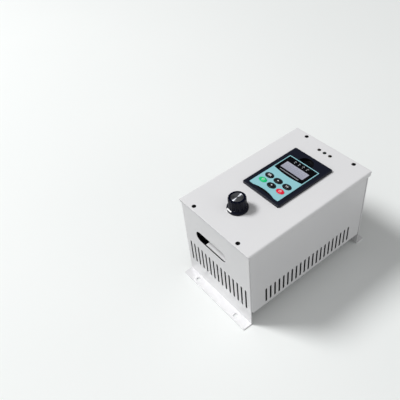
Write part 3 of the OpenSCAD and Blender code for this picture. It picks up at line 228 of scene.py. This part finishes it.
def solder_mask():
    """Solder mask is a green lacquer with a low gloss. Tracks 0.2 mm wide, in rows 3.2 mm apart
    and 14 mm long, show through it as paler lines."""
    material, tree = start_material("green solder mask")
    where = place_in(tree)
    unit_mm, track_mm, row_mm, run_mm = 4, 0.2, 3.2, 14
    tracks = add_node(tree, "TexBrick", {
        "Vector": where, "Scale": 1 / (unit_mm * MM), "Mortar Size": track_mm / unit_mm,
        "Row Height": row_mm / unit_mm, "Brick Width": run_mm / unit_mm,
        "Color1": linear("#0C4A2B"), "Color2": linear("#0F5531"), "Mortar": linear("#1B7546")})
    surface = add_node(tree, "BsdfPrincipled", {
        "Base Color": tracks.outputs["Color"], "Roughness": 0.35,
        "Normal": relief(tree, where, bump_mm=0.6, depth_mm=0.01, edge_mm=0.1)})
    add_node(tree, "OutputMaterial", {"Surface": surface.outputs[0]})
    return material


# Turned brass is a warm yellow. Its tool marks are about 0.1 mm apart, and drawn at 0.2 mm.
brass = finish("turned brass", "#B28F42", "#C7A557", patch_mm=2, bump_mm=0.2, depth_mm=0.005,
               edge_mm=0.12, roughness=0.3, shader={"Metallic": 1})

board_mask = solder_mask()
dress(board_mask, "power_board", "control_board")
dress(brass, "board_spacers")
dress(zinc_plate, "board_screws")


# Parts soldered to the power board: two smoothing capacitors in shrunk sleeves, two resonant
# capacitors cast in pale boxes, a current transformer and a relay in blue moulded cases, and the
# ring core of the choke.

# Shrunk PVC lies tight on the can with a smooth, slightly wavy gloss.
sleeve = finish("shrunk PVC sleeve", "#15224A", "#1B2B5A", patch_mm=20, bump_mm=0.8,
                depth_mm=0.006, edge_mm=0.4, roughness=0.3)

# Epoxy cast in a pale box is a flat ivory with a soft satin.
cast_box = finish("cast epoxy box", "#C9C5B6", "#D6D2C4", patch_mm=15, bump_mm=0.6,
                  depth_mm=0.008, edge_mm=0.3, roughness=0.45)

# Blue polyamide has the fine grain of its mould, drawn at 0.4 mm, and a satin sheen.
blue_case = finish("blue moulded polyamide", "#1B4F94", "#215AA5", patch_mm=10, bump_mm=0.4,
                   depth_mm=0.008, edge_mm=0.25, roughness=0.4)

# A thick yellow lacquer lies over pressed iron powder, whose coarse grain still shows.
core_paint = finish("painted iron powder core", "#C2B12B", "#D2C23C", patch_mm=8, bump_mm=0.6,
                    depth_mm=0.02, edge_mm=0.4, roughness=0.45)

dress(sleeve, "smoothing_capacitors")
dress(cast_box, "resonant_capacitors")
dress(blue_case, "current_transformer", "soft_start_relay")
dress(core_paint, "choke_core")


# The choke is wound by hand with thirteen turns of 2.4 mm enamelled copper wire round its ring.
# Each turn is pulled flat along the sides of the core and bends over its edges.

def squared(c):
    """A cosine or sine drawn towards a square, so that a round path follows a flat-sided core."""
    return math.copysign(abs(c) ** 0.35, c)


def add_piece(name, mesh, material, body):
    """Adds a piece that rides on a body and takes its finish from a slot."""
    mesh.materials.append(material)
    made = bpy.data.objects.new(name, mesh)
    bpy.context.scene.collection.objects.link(made)
    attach(made, body)
    return made


def skin(name, points, faces, smooth=True):
    """A mesh of points and faces."""
    mesh = bpy.data.meshes.new(name)
    mesh.from_pydata([tuple(p) for p in points], [], faces)
    if smooth:
        mesh.shade_smooth()
    else:
        mesh.shade_flat()
    mesh.validate()
    return mesh


def tube_faces(rings, sides):
    """The faces between rings of points that follow each other."""
    return [(i * sides + k, i * sides + (k + 1) % sides, (i + 1) * sides + (k + 1) % sides,
             (i + 1) * sides + k) for i in range(rings - 1) for k in range(sides)]


def choke_winding():
    """One round wire, cut square at both ends, that goes through the ring and round it."""
    low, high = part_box("choke_core")
    middle = (low + high) / 2
    outer, height, wire, gap = (high.x - low.x) / 2, high.z - low.z, 2.4 * MM, 0.4 * MM
    hole_share, turns, span, steps, sides = 0.55, 13, 330, 36, 14
    ring_r = outer * (1 + hole_share) / 2
    half_w = outer * (1 - hole_share) / 2 + gap + wire / 2
    half_h = height / 2 + gap + wire / 2

    def route(t):
        a, b = math.radians(span * t), 2 * math.pi * turns * t
        r = ring_r + half_w * squared(math.cos(b))
        return Vector((r * math.cos(a), r * math.sin(a), half_h * squared(math.sin(b))))

    n = turns * steps
    points = []
    for i in range(n + 1):
        t, near = i / n, 0.2 / n
        along = (route(min(1, t + near)) - route(max(0, t - near))).normalized()
        a = math.radians(span * t)
        side = along.cross(Vector((-math.sin(a), math.cos(a), 0))).normalized()
        up = side.cross(along)
        for k in range(sides):
            turn = 2 * math.pi * k / sides
            points.append(middle + route(t)
                          + (side * math.cos(turn) + up * math.sin(turn)) * wire / 2)
    faces = tube_faces(n + 1, sides)
    faces += [tuple(reversed(range(sides))), tuple(n * sides + k for k in range(sides))]
    # The enamel is a clear amber coat over bright copper, so it shines twice: wide and sharp
    enamel = finish("enamelled copper", "#9A4A22", "#B25C2C", patch_mm=5, bump_mm=1,
                    depth_mm=0.004, edge_mm=0.05, roughness=0.28,
                    shader={"Metallic": 1, "Coat Weight": 0.6, "Coat Roughness": 0.15})
    made = add_piece("choke_wire", skin("choke_wire", points, faces), enamel, "case")
    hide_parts("choke_winding")


choke_winding()


# The terminals stand on a folded and coated steel shelf behind the cable slot: a block moulded in
# black polyamide with barriers between its poles, and a brass earth stud.

# The shelf has the white powder of the case, and keeps it clean inside.
powder_coat = finish("white polyester powder coat", "#F1F1F3", "#F5F5F6", patch_mm=60,
                     roughness=0.25, **ORANGE_PEEL)

# Polyamide is a shade greyer and duller than the keypad's ABS.
black_polyamide = finish("black moulded polyamide", "#18181A", "#202023", patch_mm=12,
                         bump_mm=0.4, depth_mm=0.01, edge_mm=0.25, roughness=0.5)

dress(powder_coat, "terminal_shelf")
dress(black_polyamide, "terminal_block")
dress(zinc_plate, "shelf_screws", "terminal_screws")
dress(brass, "earth_stud")


# The keypad's frame is moulded in black ABS in a spark-eroded mould. The faces inside its finger
# recess are painted near black, as painted shade. It snaps into the lid with four hooks.

def grained_abs():
    """Grained ABS spreads the light to a soft blue black. Inside the finger recess it is painted
    near black, as painted shade.
    The grain is about 0.1 mm, and is drawn at 0.35 mm so that it shows."""
    material, tree = start_material("black grained ABS")
    where = place_in(tree)
    recess_r, face_depth = 12.1 * MM, 0.4 * MM
    top, recess_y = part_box("keypad_bezel")[1].z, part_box("keypad_case")[1].y
    away = add_node(tree, "VectorMath", {0: where, 1: (0, recess_y, 0)}, operation="SUBTRACT")
    away = add_node(tree, "VectorMath", {0: away.outputs[0], 1: (1, 1, 0)}, operation="MULTIPLY")
    away = add_node(tree, "VectorMath", {0: away.outputs[0]}, operation="LENGTH")
    inside = add_node(tree, "Math", {0: away.outputs["Value"], 1: recess_r}, operation="LESS_THAN")
    height = add_node(tree, "SeparateXYZ", {"Vector": where})
    below = add_node(tree, "Math", {0: height.outputs["Z"], 1: top - face_depth},
                     operation="LESS_THAN")
    recess_shade = add_node(tree, "Math", {0: inside.outputs[0], 1: below.outputs[0]},
                      operation="MULTIPLY")
    grained = drift(tree, where, patch_mm=18, dark="#0E121F", light="#131726")
    # Painted shade: near black on the faces inside the finger recess, below the face of the frame
    colour = add_node(tree, "Mix", {0: recess_shade.outputs[0], 6: grained, 7: linear("#030409")},
                      data_type="RGBA")
    surface = add_node(tree, "BsdfPrincipled", {
        "Base Color": colour.outputs[2], "Roughness": 0.42, "Specular IOR Level": 0.3,
        "Normal": relief(tree, where, bump_mm=0.35, depth_mm=0.012, edge_mm=0.22)})
    add_node(tree, "OutputMaterial", {"Surface": surface.outputs[0]})
    return material


dress(grained_abs(), "keypad_bezel")


# The keypad's unit is a shallow box of smooth black ABS, screwed together from behind round a
# small board with the switches and the display. It plugs into a polyamide socket in the frame.

# Smooth ABS of a dark pocket: near black, with little shine.
unit_abs = finish("black smooth ABS", "#08080B", "#0B0B10", patch_mm=12, bump_mm=0.4,
                  depth_mm=0.006, edge_mm=0.18, roughness=0.42,
                  shader={"Specular IOR Level": 0.16})

# The display's housing is moulded in grey, so that no stray light shows through it.
display_grey = finish("grey display housing", "#4A4A50", "#55555C", patch_mm=10, bump_mm=0.4,
                      depth_mm=0.006, edge_mm=0.2, roughness=0.5)

# Tinned steel is a soft grey silver with a milky gloss.
tin_steel = finish("tinned switch steel", "#A4A5A8", "#B7B8BB", patch_mm=4, bump_mm=0.3,
                   depth_mm=0.005, edge_mm=0.1, roughness=0.35, shader={"Metallic": 1})

# Frosted acrylic looks milky while its light is off.
frosted_acrylic = finish("frosted acrylic light pipe", "#A9AEB3", "#C2C6CA", patch_mm=1,
                         bump_mm=0.2, depth_mm=0.004, edge_mm=0.1, roughness=0.3)

dress(unit_abs, "keypad_case", "keypad_back")
dress(black_polyamide, "keypad_socket")
dress(zinc_plate, "keypad_screws")
dress(board_mask, "keypad_board")
dress(display_grey, "display_module")
dress(tin_steel, "key_switches")
dress(frosted_acrylic, "status_lights")


# The overlay is polyester film, screen printed in teal from behind and glued to the unit. Over the
# display the print is black, and the window in it is left as a grey tint.

# The film's matt face over the print makes the teal look slightly deep.
teal_film = finish("teal printed polyester film", "#90C7D0", "#99CFD7", patch_mm=25, bump_mm=0.25,
                   depth_mm=0.004, edge_mm=0.1, roughness=0.4)

# The black print swallows light under a smoother face.
black_film = finish("black printed polyester film", "#07070A", "#0A0A0E", patch_mm=20,
                    bump_mm=0.25, depth_mm=0.003, edge_mm=0.08, roughness=0.3,
                    shader={"Specular IOR Level": 0.16})


def tinted_window():
    """Tinted clear film over the display: a soft lilac grey, paler towards its upper edge."""
    material, tree = start_material("tinted display window")
    low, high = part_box("display_window")
    where = place_in(tree)
    height = add_node(tree, "SeparateXYZ", {"Vector": where})
    rise = add_node(tree, "MapRange", {"Value": height.outputs["Y"], "From Min": low.y,
                                       "From Max": high.y})
    colour = add_node(tree, "Mix", {0: rise.outputs[0], 6: linear("#A2A4B3"),
                                    7: linear("#B2B4C2")}, data_type="RGBA")
    surface = add_node(tree, "BsdfPrincipled", {
        "Base Color": colour.outputs[2], "Roughness": 0.22,
        "Normal": relief(tree, where, bump_mm=3, depth_mm=0.004, edge_mm=0.05)})
    add_node(tree, "OutputMaterial", {"Surface": surface.outputs[0]})
    return material


dress(teal_film, "keypad_overlay")
dress(black_film, "display_field")
dress(tinted_window(), "display_window")


# The display field is screen printed with a plain grey line and four small marks over the lights.
# The unlit segments of a five-digit display show faintly through the window.

# Ink stands 0.03 mm proud, and reaches 0.02 mm into what it lies on, so that no gap shows. Corners
# within 0.001 mm of each other are joined.
INK_MM, SUNK_MM, WELD_MM = 0.03, 0.02, 0.001


def flat_print(name, shapes, z, material, body="keypad", height=None, thick_mm=INK_MM):
    """Thin ink of one or more outlines in X and Y, laid at z or on a surface of that height."""
    made = bmesh.new()
    for outline in shapes:
        made.faces.new([made.verts.new((x, y, 0)) for x, y in outline])
    bmesh.ops.remove_doubles(made, verts=made.verts[:], dist=WELD_MM * MM)
    bmesh.ops.triangulate(made, faces=made.faces[:])
    if height:
        bmesh.ops.subdivide_edges(made, edges=made.edges[:], cuts=3, use_grid_fill=True)
    bmesh.ops.recalc_face_normals(made, faces=made.faces[:])
    if made.faces and made.faces[0].normal.z < 0:
        bmesh.ops.reverse_faces(made, faces=made.faces[:])
    grown = bmesh.ops.extrude_face_region(made, geom=made.faces[:])
    lifted = {v for v in grown["geom"] if isinstance(v, bmesh.types.BMVert)}
    for v in made.verts:
        base = height(v.co.x, v.co.y) if height else z
        v.co.z = base + (thick_mm if v in lifted else -SUNK_MM) * MM
    bmesh.ops.recalc_face_normals(made, faces=made.faces[:])
    mesh = bpy.data.meshes.new(name)
    made.to_mesh(mesh)
    made.free()
    add_piece(name, mesh, material, body)


def bar(x, y, half_l, half_w, corner=0.5):
    """A bar with clipped corners, in millimetres, as an outline in metres."""
    c = corner * half_w
    ends = [(half_l, half_w - c), (half_l - c, half_w), (c - half_l, half_w),
            (-half_l, half_w - c), (-half_l, c - half_w), (c - half_l, -half_w),
            (half_l - c, -half_w), (half_l, c - half_w)]
    return [((x + u) * MM, (y + v) * MM) for u, v in ends]


def field_prints():
    """The grey line under the window and the marks over the lights."""
    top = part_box("display_field")[1].z
    # Screen ink is thin and flat, with a dull gloss and a little metal powder in it
    silver = finish("silver screen ink", "#B4B7BC", "#C4C7CB", patch_mm=3, bump_mm=0.3,
                    depth_mm=0.002, edge_mm=0.03, roughness=0.4)
    grey = finish("grey screen ink", "#86898E", "#94979C", patch_mm=3, bump_mm=0.3,
                  depth_mm=0.002, edge_mm=0.03, roughness=0.4)
    line_y, line_half_l, line_half_w = 23.7, 16.3, 0.6
    flat_print("grey_line", [bar(0, line_y, line_half_l, line_half_w)], top, grey)
    # One mark stands over each light, with a short one above it that steps from light to light
    low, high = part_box("status_lights")
    light_mm, above, apart, step_over = 1.3, 2.3, 0.95, 0.6
    pitch = (high.x - low.x - light_mm * MM) / 3 / MM
    first = (low.x + light_mm / 2 * MM) / MM
    y = (low.y + high.y) / 2 / MM + above
    marks = []
    for i in range(4):
        x = first + i * pitch
        marks.append(bar(x, y, half_l=1.5, half_w=0.28))
        marks.append(bar(x + (i - 1.5) * step_over, y + apart, half_l=0.7, half_w=0.22))
    flat_print("light_marks", marks, top, silver)


def unlit_digits():
    """Five slanted eights of six-sided segments, each with its point."""
    low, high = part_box("display_window")
    middle_x, middle_y, top = (low.x + high.x) / 2 / MM, (low.y + high.y) / 2 / MM, high.z
    w, h, stroke, pitch, slant, end_gap = 4.0, 8.2, 0.42, 6.9, 0.12, 0.15
    point_room, point_x = 0.5, 1.1
    shapes = []

    def segment(x, y, half_l, upright):
        ends = [(-half_l, 0), (stroke - half_l, stroke), (half_l - stroke, stroke), (half_l, 0),
                (half_l - stroke, -stroke), (stroke - half_l, -stroke)]
        if upright:
            ends = [(v, u) for u, v in ends][::-1]
        return [((x + u + slant * (y - middle_y + v)) * MM, (y + v) * MM) for u, v in ends]

    for i in range(5):
        x = middle_x + (i - 2) * pitch - point_room
        for y in (-h / 2, 0, h / 2):
            shapes.append(segment(x, middle_y + y, w / 2 - end_gap, False))
        for side in (-1, 1):
            for half in (-1, 1):
                shapes.append(segment(x + side * w / 2, middle_y + half * h / 4,
                                      h / 4 - end_gap, True))
        shapes.append(bar(x + w / 2 + point_x, middle_y - h / 2, stroke, stroke, corner=1))
    # Unlit segments are hardly darker than the window, and as smooth as its film
    ghost = finish("unlit display segments", "#989BA8", "#9EA1AE", patch_mm=4, bump_mm=0.3,
                   depth_mm=0.002, edge_mm=0.03, roughness=0.25)
    flat_print("display_segments", shapes, top, ghost, thick_mm=INK_MM / 2)


field_prints()
unlit_digits()


# The six keys are moulded in silicone rubber with a soft crown and a rounded rim, on a flange that
# the overlay holds down. They carry plain signs in white ink: green starts, red stops, and the
# black ones step through the settings. A thin black ring laid round the holes of the black keys is
# painted shade, the dark gap round each key.

KEY_TINTS = {"green_key": ("#14BE72", "#1CD083"), "red_key": ("#DE1B36", "#EA2642"),
             "black_key": ("#101014", "#17171C")}
KEY_SLOTS = {"key_run": "green_key", "key_stop": "red_key", "key_down": "black_key",
             "key_up": "black_key", "key_top_left": "black_key", "key_top_right": "black_key"}
KEY_FLANGE_MM, KEY_GAP_MM = 0.9, 0.25


def key_face(node):
    """The middle of a key, and half the width and length of its part above the flange."""
    low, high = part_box(node)
    half = (high - low) / 2
    return (low + high) / 2, half.x - KEY_FLANGE_MM * MM, half.y - KEY_FLANGE_MM * MM


def key_piece(node, material):
    """A key with its flange, a rounded rim and a crown that is part of a large ball."""
    low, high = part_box(node)
    middle, half_w, half_l = key_face(node)
    flange, rim, crown_r, sides = KEY_FLANGE_MM * MM, 0.55 * MM, 38 * MM, 64
    arc_parts, crown_shares = 7, (0.25, 0.45, 0.65, 0.85)

    def crown(x, y):
        off_x, off_y = x - middle.x, y - middle.y
        return high.z - crown_r + math.sqrt(crown_r ** 2 - off_x ** 2 - off_y ** 2)

    def ring(inset, level=None, drop=0.0):
        """Points round the key, all at one level, or below the crown by drop."""
        around = []
        for k in range(sides):
            a = 2 * math.pi * k / sides
            x = middle.x + (half_w - inset) * math.cos(a)
            y = middle.y + (half_l - inset) * math.sin(a)
            around.append((x, y, crown(x, y) - drop if level is None else level))
        return around

    rings = [ring(-flange, low.z), ring(-flange, low.z + flange), ring(0, low.z + flange)]
    for i in range(arc_parts):
        a = math.radians(90 * i / (arc_parts - 1))
        rings.append(ring(rim * (1 - math.cos(a)), drop=rim * (1 - math.sin(a))))
    for share in crown_shares:
        rings.append(ring(rim + (half_l - rim) * share))
    points = [p for r in rings for p in r] + [(middle.x, middle.y, high.z)]
    faces = [tuple(reversed(range(sides)))] + tube_faces(len(rings), sides)
    last = (len(rings) - 1) * sides
    faces += [(last + k, last + (k + 1) % sides, len(points) - 1) for k in range(sides)]
    made = add_piece(node + "_cap", skin(node + "_cap", points, faces), material, node)
    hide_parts(node)
    return middle, crown


def oval_strips(half_x, half_y, width, parts):
    """A flat ring round an oval, in parts with four corners each."""
    turns = [2 * math.pi * k / parts for k in range(parts + 1)]
    return [[((half_x + out) * math.cos(t), (half_y + out) * math.sin(t))
             for out, t in ((0, a), (width, a), (width, b), (0, b))]
            for a, b in zip(turns, turns[1:])]


def sign_shapes(node):
    """Plain signs, in millimetres from the middle of the key."""
    circle = oval_strips(half_x=1.8, half_y=1.8, width=0.3, parts=32)
    return {
        "key_up": [[(-1.25, -0.9), (1.25, -0.9), (0, 1.2)]],
        "key_down": [[(0, -1.2), (1.25, 0.9), (-1.25, 0.9)]],
        "key_top_left": [[(-2.6, v - 0.28), (2.6, v - 0.28), (2.6, v + 0.28), (-2.6, v + 0.28)]
                         for v in (-0.95, 0, 0.95)],
        "key_top_right": [[(u - 0.9, -1.25), (u - 0.3, -1.25), (u + 0.7, 0), (u - 0.3, 1.25),
                           (u - 0.9, 1.25), (u + 0.1, 0)] for u in (-1.3, 0.1, 1.5)],
        "key_run": [[(-0.8, -1.1), (1.2, 0), (-0.8, 1.1)]] + circle,
        "key_stop": [[(-0.75, -0.75), (0.75, -0.75), (0.75, 0.75), (-0.75, 0.75)]] + circle,
    }[node]


def keys():
    """All six keys, each with its sign laid on its crown."""
    # Silicone rubber is a soft, even satin, and the ink on it is matt
    rubbers = {slot: finish(slot.replace("_", " ") + " silicone rubber", dark, light, patch_mm=5,
                            bump_mm=0.3, depth_mm=0.004, edge_mm=0.05, roughness=0.36,
                            shader={"Specular IOR Level": 0.4})
               for slot, (dark, light) in KEY_TINTS.items()}
    white_ink = finish("white screen ink", "#E4E6E8", "#EEF0F1", patch_mm=3, bump_mm=0.3,
                       depth_mm=0.002, edge_mm=0.03, roughness=0.45)
    for node, slot in KEY_SLOTS.items():
        middle, crown = key_piece(node, rubbers[slot])
        shapes = [[(middle.x + u * MM, middle.y + v * MM) for u, v in outline]
                  for outline in sign_shapes(node)]
        flat_print(node + "_sign", shapes, 0, white_ink, node, crown)


def key_shade_rings():
    """Painted shade: black rings on the overlay, close round the holes of the black keys, for the
    dark gap round each key.
    """
    top, gap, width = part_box("keypad_overlay")[1].z, KEY_GAP_MM * MM, 0.6 * MM
    shapes = []
    for node in (n for n, slot in KEY_SLOTS.items() if slot == "black_key"):
        middle, half_w, half_l = key_face(node)
        shapes += [[(middle.x + u, middle.y + v) for u, v in strip]
                   for strip in oval_strips(half_w + gap, half_l + gap, width, parts=48)]
    flat_print("key_shade_rings", shapes, top, black_film)


keys()
key_shade_rings()


# The power is set with a knob of black phenolic resin, moulded round a brass insert whose grub
# screw holds it on the steel shaft of a potentiometer. A spun aluminium disc is let into its top,
# and a white pointer into its skirt.

def spun_disc():
    """Spun aluminium: its rings spread the light to two bright wedges. The tool leaves them
    about 0.1 mm apart, and they are drawn at 1.6 mm so that they show."""
    material, tree = start_material("spun aluminium")
    low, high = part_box("knob_cap")
    ring_mm, groove_mm = 1.6, 0.004
    where = add_node(tree, "TexCoord", {})
    where = add_node(tree, "Mapping", {"Vector": where.outputs["Object"],
                                       "Location": tuple((low + high) / -2)})
    rings = add_node(tree, "TexWave", {"Vector": where.outputs[0], "Scale": 1 / (ring_mm * MM),
                                       "Distortion": 0.4, "Detail": 2},
                     wave_type="RINGS", rings_direction="Z")
    tint = add_node(tree, "Mix", {0: rings.outputs["Fac"], 6: linear("#A2A4A9"),
                                  7: linear("#B2B4B9")}, data_type="RGBA")
    bumps = add_node(tree, "Bump", {"Height": rings.outputs["Fac"], "Distance": groove_mm * MM,
                                    "Strength": 0.3})
    tangent = add_node(tree, "Tangent", {}, direction_type="RADIAL", axis="Z")
    surface = add_node(tree, "BsdfPrincipled", {
        "Base Color": tint.outputs[2], "Metallic": 1, "Roughness": 0.4, "Anisotropic": 1,
        "Anisotropic Rotation": 0.25, "Tangent": tangent.outputs[0],
        "Normal": bumps.outputs[0]})
    add_node(tree, "OutputMaterial", {"Surface": surface.outputs[0]})
    return material


# Phenolic resin from a polished mould is a deep blue black with sharp, faint reflections.
phenolic = finish("black phenolic resin", "#060917", "#090C1E", patch_mm=10, bump_mm=1.2,
                  depth_mm=0.004, edge_mm=0.25, roughness=0.17,
                  shader={"Specular IOR Level": 0.13})

# Filling paint is a plain white with a dull gloss.
pointer_white = finish("white pointer paint", "#EDEEEE", "#F4F5F5", patch_mm=3, bump_mm=0.4,
                       depth_mm=0.004, edge_mm=0.08, roughness=0.4)

# Nickel plate over rolled steel is a satin silver.
pot_steel = finish("nickel plated potentiometer steel", "#9FA0A2", "#B3B4B5", patch_mm=5,
                   bump_mm=0.5, depth_mm=0.006, edge_mm=0.2, roughness=0.32,
                   shader={"Metallic": 1})


def skirt_highlight():
    """A painted highlight: white laid in a band on the slope of the skirt beside the pointer, where
    the key light gleams on it.
    """
    low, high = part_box("knob")
    middle, skirt_r = (low + high) / 2, (high.x - low.x) / 2
    slope_top_r, slope_h, skirt_top = 11.75 * MM, 1.4 * MM, low.z + 2.4 * MM
    inner, outer, start, end, steps = 11.85 * MM, 13.2 * MM, 251, 281, 20
    half_thick = 0.05 * MM
    points = []
    for i in range(steps + 1):
        a = math.radians(start + (end - start) * i / steps)
        for r in (inner, outer):
            z = skirt_top + slope_h * (skirt_r - r) / (skirt_r - slope_top_r)
            for lift in (-half_thick, half_thick):
                points.append((middle.x + r * math.cos(a), middle.y + r * math.sin(a), z + lift))
    faces = [(0, 1, 3, 2), tuple(4 * steps + k for k in (0, 2, 3, 1))]
    for i in range(steps):
        for j, k in ((0, 2), (2, 3), (3, 1), (1, 0)):
            faces.append((4 * i + j, 4 * i + k, 4 * i + 4 + k, 4 * i + 4 + j))
    add_piece("skirt_highlight", skin("skirt_highlight", points, faces, smooth=False), pointer_white,
              "knob_assembly")


skirt_highlight()
dress(phenolic, "knob")
dress(brass, "knob_insert")
dress(spun_disc(), "knob_cap")
dress(pointer_white, "knob_pointer")
dress(pot_steel, "potentiometer_body", "potentiometer_shaft")
dress(zinc_plate, "potentiometer_nut")


# Three 5 mm lamps are pushed into black polyamide clips behind the keypad. Their lenses are cast
# in red, green and amber epoxy.

# Tinted epoxy over a dark chip is nearly black while unlit, with a smooth, sharp gloss.
for side, tint, dark, light in (("left", "red", "#12090A", "#180A0B"),
                                ("middle", "green", "#031613", "#051C17"),
                                ("right", "amber", "#151208", "#1B170B")):
    lens = finish(tint + " tinted epoxy lens", dark, light, patch_mm=2, bump_mm=1, depth_mm=0.003,
                  edge_mm=0.1, roughness=0.12, shader={"Specular IOR Level": 0.25})
    dress(lens, "lamp_" + side)
dress(black_polyamide, "lamp_holders")


# The studio: a pale floor under one large soft light from high on the left, a weak one low on the
# right and an even sky, seen from the photograph's place.

def pale_floor():
    """Matt paper. The camera, gloss and glass see it pale; the light it gives back is greyer."""
    material, tree = start_material("pale studio floor")
    path = add_node(tree, "LightPath", {}).outputs
    seen = add_node(tree, "Math", {0: path["Is Camera Ray"], 1: path["Is Glossy Ray"]},
                    operation="MAXIMUM")
    seen = add_node(tree, "Math", {0: seen.outputs[0], 1: path["Is Transmission Ray"]},
                    operation="MAXIMUM")
    paper = drift(tree, place_in(tree), patch_mm=400, dark="#EFF2F1", light="#F3F5F4")
    colour = add_node(tree, "Mix", {0: seen.outputs[0], 6: linear("#A6A8A7"), 7: paper},
                      data_type="RGBA")
    surface = add_node(tree, "BsdfPrincipled", {
        "Base Color": colour.outputs[2], "Roughness": 0.9, "Specular IOR Level": 0.1})
    add_node(tree, "OutputMaterial", {"Surface": surface.outputs[0]})
    reach = 4
    mesh = bpy.data.meshes.new("floor")
    mesh.from_pydata([(-reach, -reach, 0), (reach, -reach, 0), (reach, reach, 0),
                      (-reach, reach, 0)], [], [(0, 1, 2, 3)])
    mesh.materials.append(material)
    floor = bpy.data.objects.new("floor", mesh)
    bpy.context.scene.collection.objects.link(floor)


def lamp(name, place, size, power):
    """A round soft light, aimed at the middle of the machine."""
    light = bpy.data.lights.new(name, "AREA")
    light.shape, light.size, light.energy = "DISK", size, power
    made = bpy.data.objects.new(name, light)
    made.location = place
    aim = Vector((0, 0, 0.08))
    made.rotation_euler = (aim - Vector(place)).to_track_quat("-Z", "Y").to_euler()
    bpy.context.scene.collection.objects.link(made)


def even_sky():
    """A grey sky. A dark flag hangs in it behind the object and high up, where the lid mirrors
    it: it begins 44 degrees from its middle and is full within 26 degrees."""
    world = bpy.data.worlds.new("studio")
    bpy.context.scene.world = world
    world.use_nodes = True
    tree = world.node_tree
    tree.nodes.clear()
    flag_way = Vector((-1, 1, 1.7)).normalized()
    begins, full = 0.72, 0.9
    toward = add_node(tree, "VectorMath", {0: add_node(tree, "TexCoord", {}).outputs["Generated"],
                                           1: flag_way}, operation="DOT_PRODUCT")
    flag = add_node(tree, "MapRange", {"Value": toward.outputs["Value"], "From Min": begins,
                                       "From Max": full, "To Min": 0.5, "To Max": 0.04},
                    interpolation_type="SMOOTHSTEP")
    sky = add_node(tree, "Background", {"Color": linear("#FFFFFF"), "Strength": flag.outputs[0]})
    add_node(tree, "OutputWorld", {"Surface": sky.outputs[0]})


def place_camera():
    """Its place, turn and lens were fitted to the corners of the case in the photograph."""
    camera = bpy.data.cameras.new("camera")
    camera.lens, camera.sensor_width = 47.079, 36
    camera.shift_x, camera.shift_y = -0.0009, 0.00125
    camera.clip_start, camera.clip_end = 0.01, 20
    made = bpy.data.objects.new("camera", camera)
    made.location = (0.35181, -0.34404, 0.59652)
    made.rotation_euler = [math.radians(a) for a in (45.6926, 5.2971, 51.8846)]
    bpy.context.scene.collection.objects.link(made)
    bpy.context.scene.camera = made


pale_floor()
lamp("key_light", (-1.75, -1.48, 3.16), size=1.2, power=108)
lamp("fill_light", (2.6, 0.9, 0.8), size=2.0, power=7)
even_sky()
place_camera()
bpy.context.scene.view_settings.view_transform = "Standard"
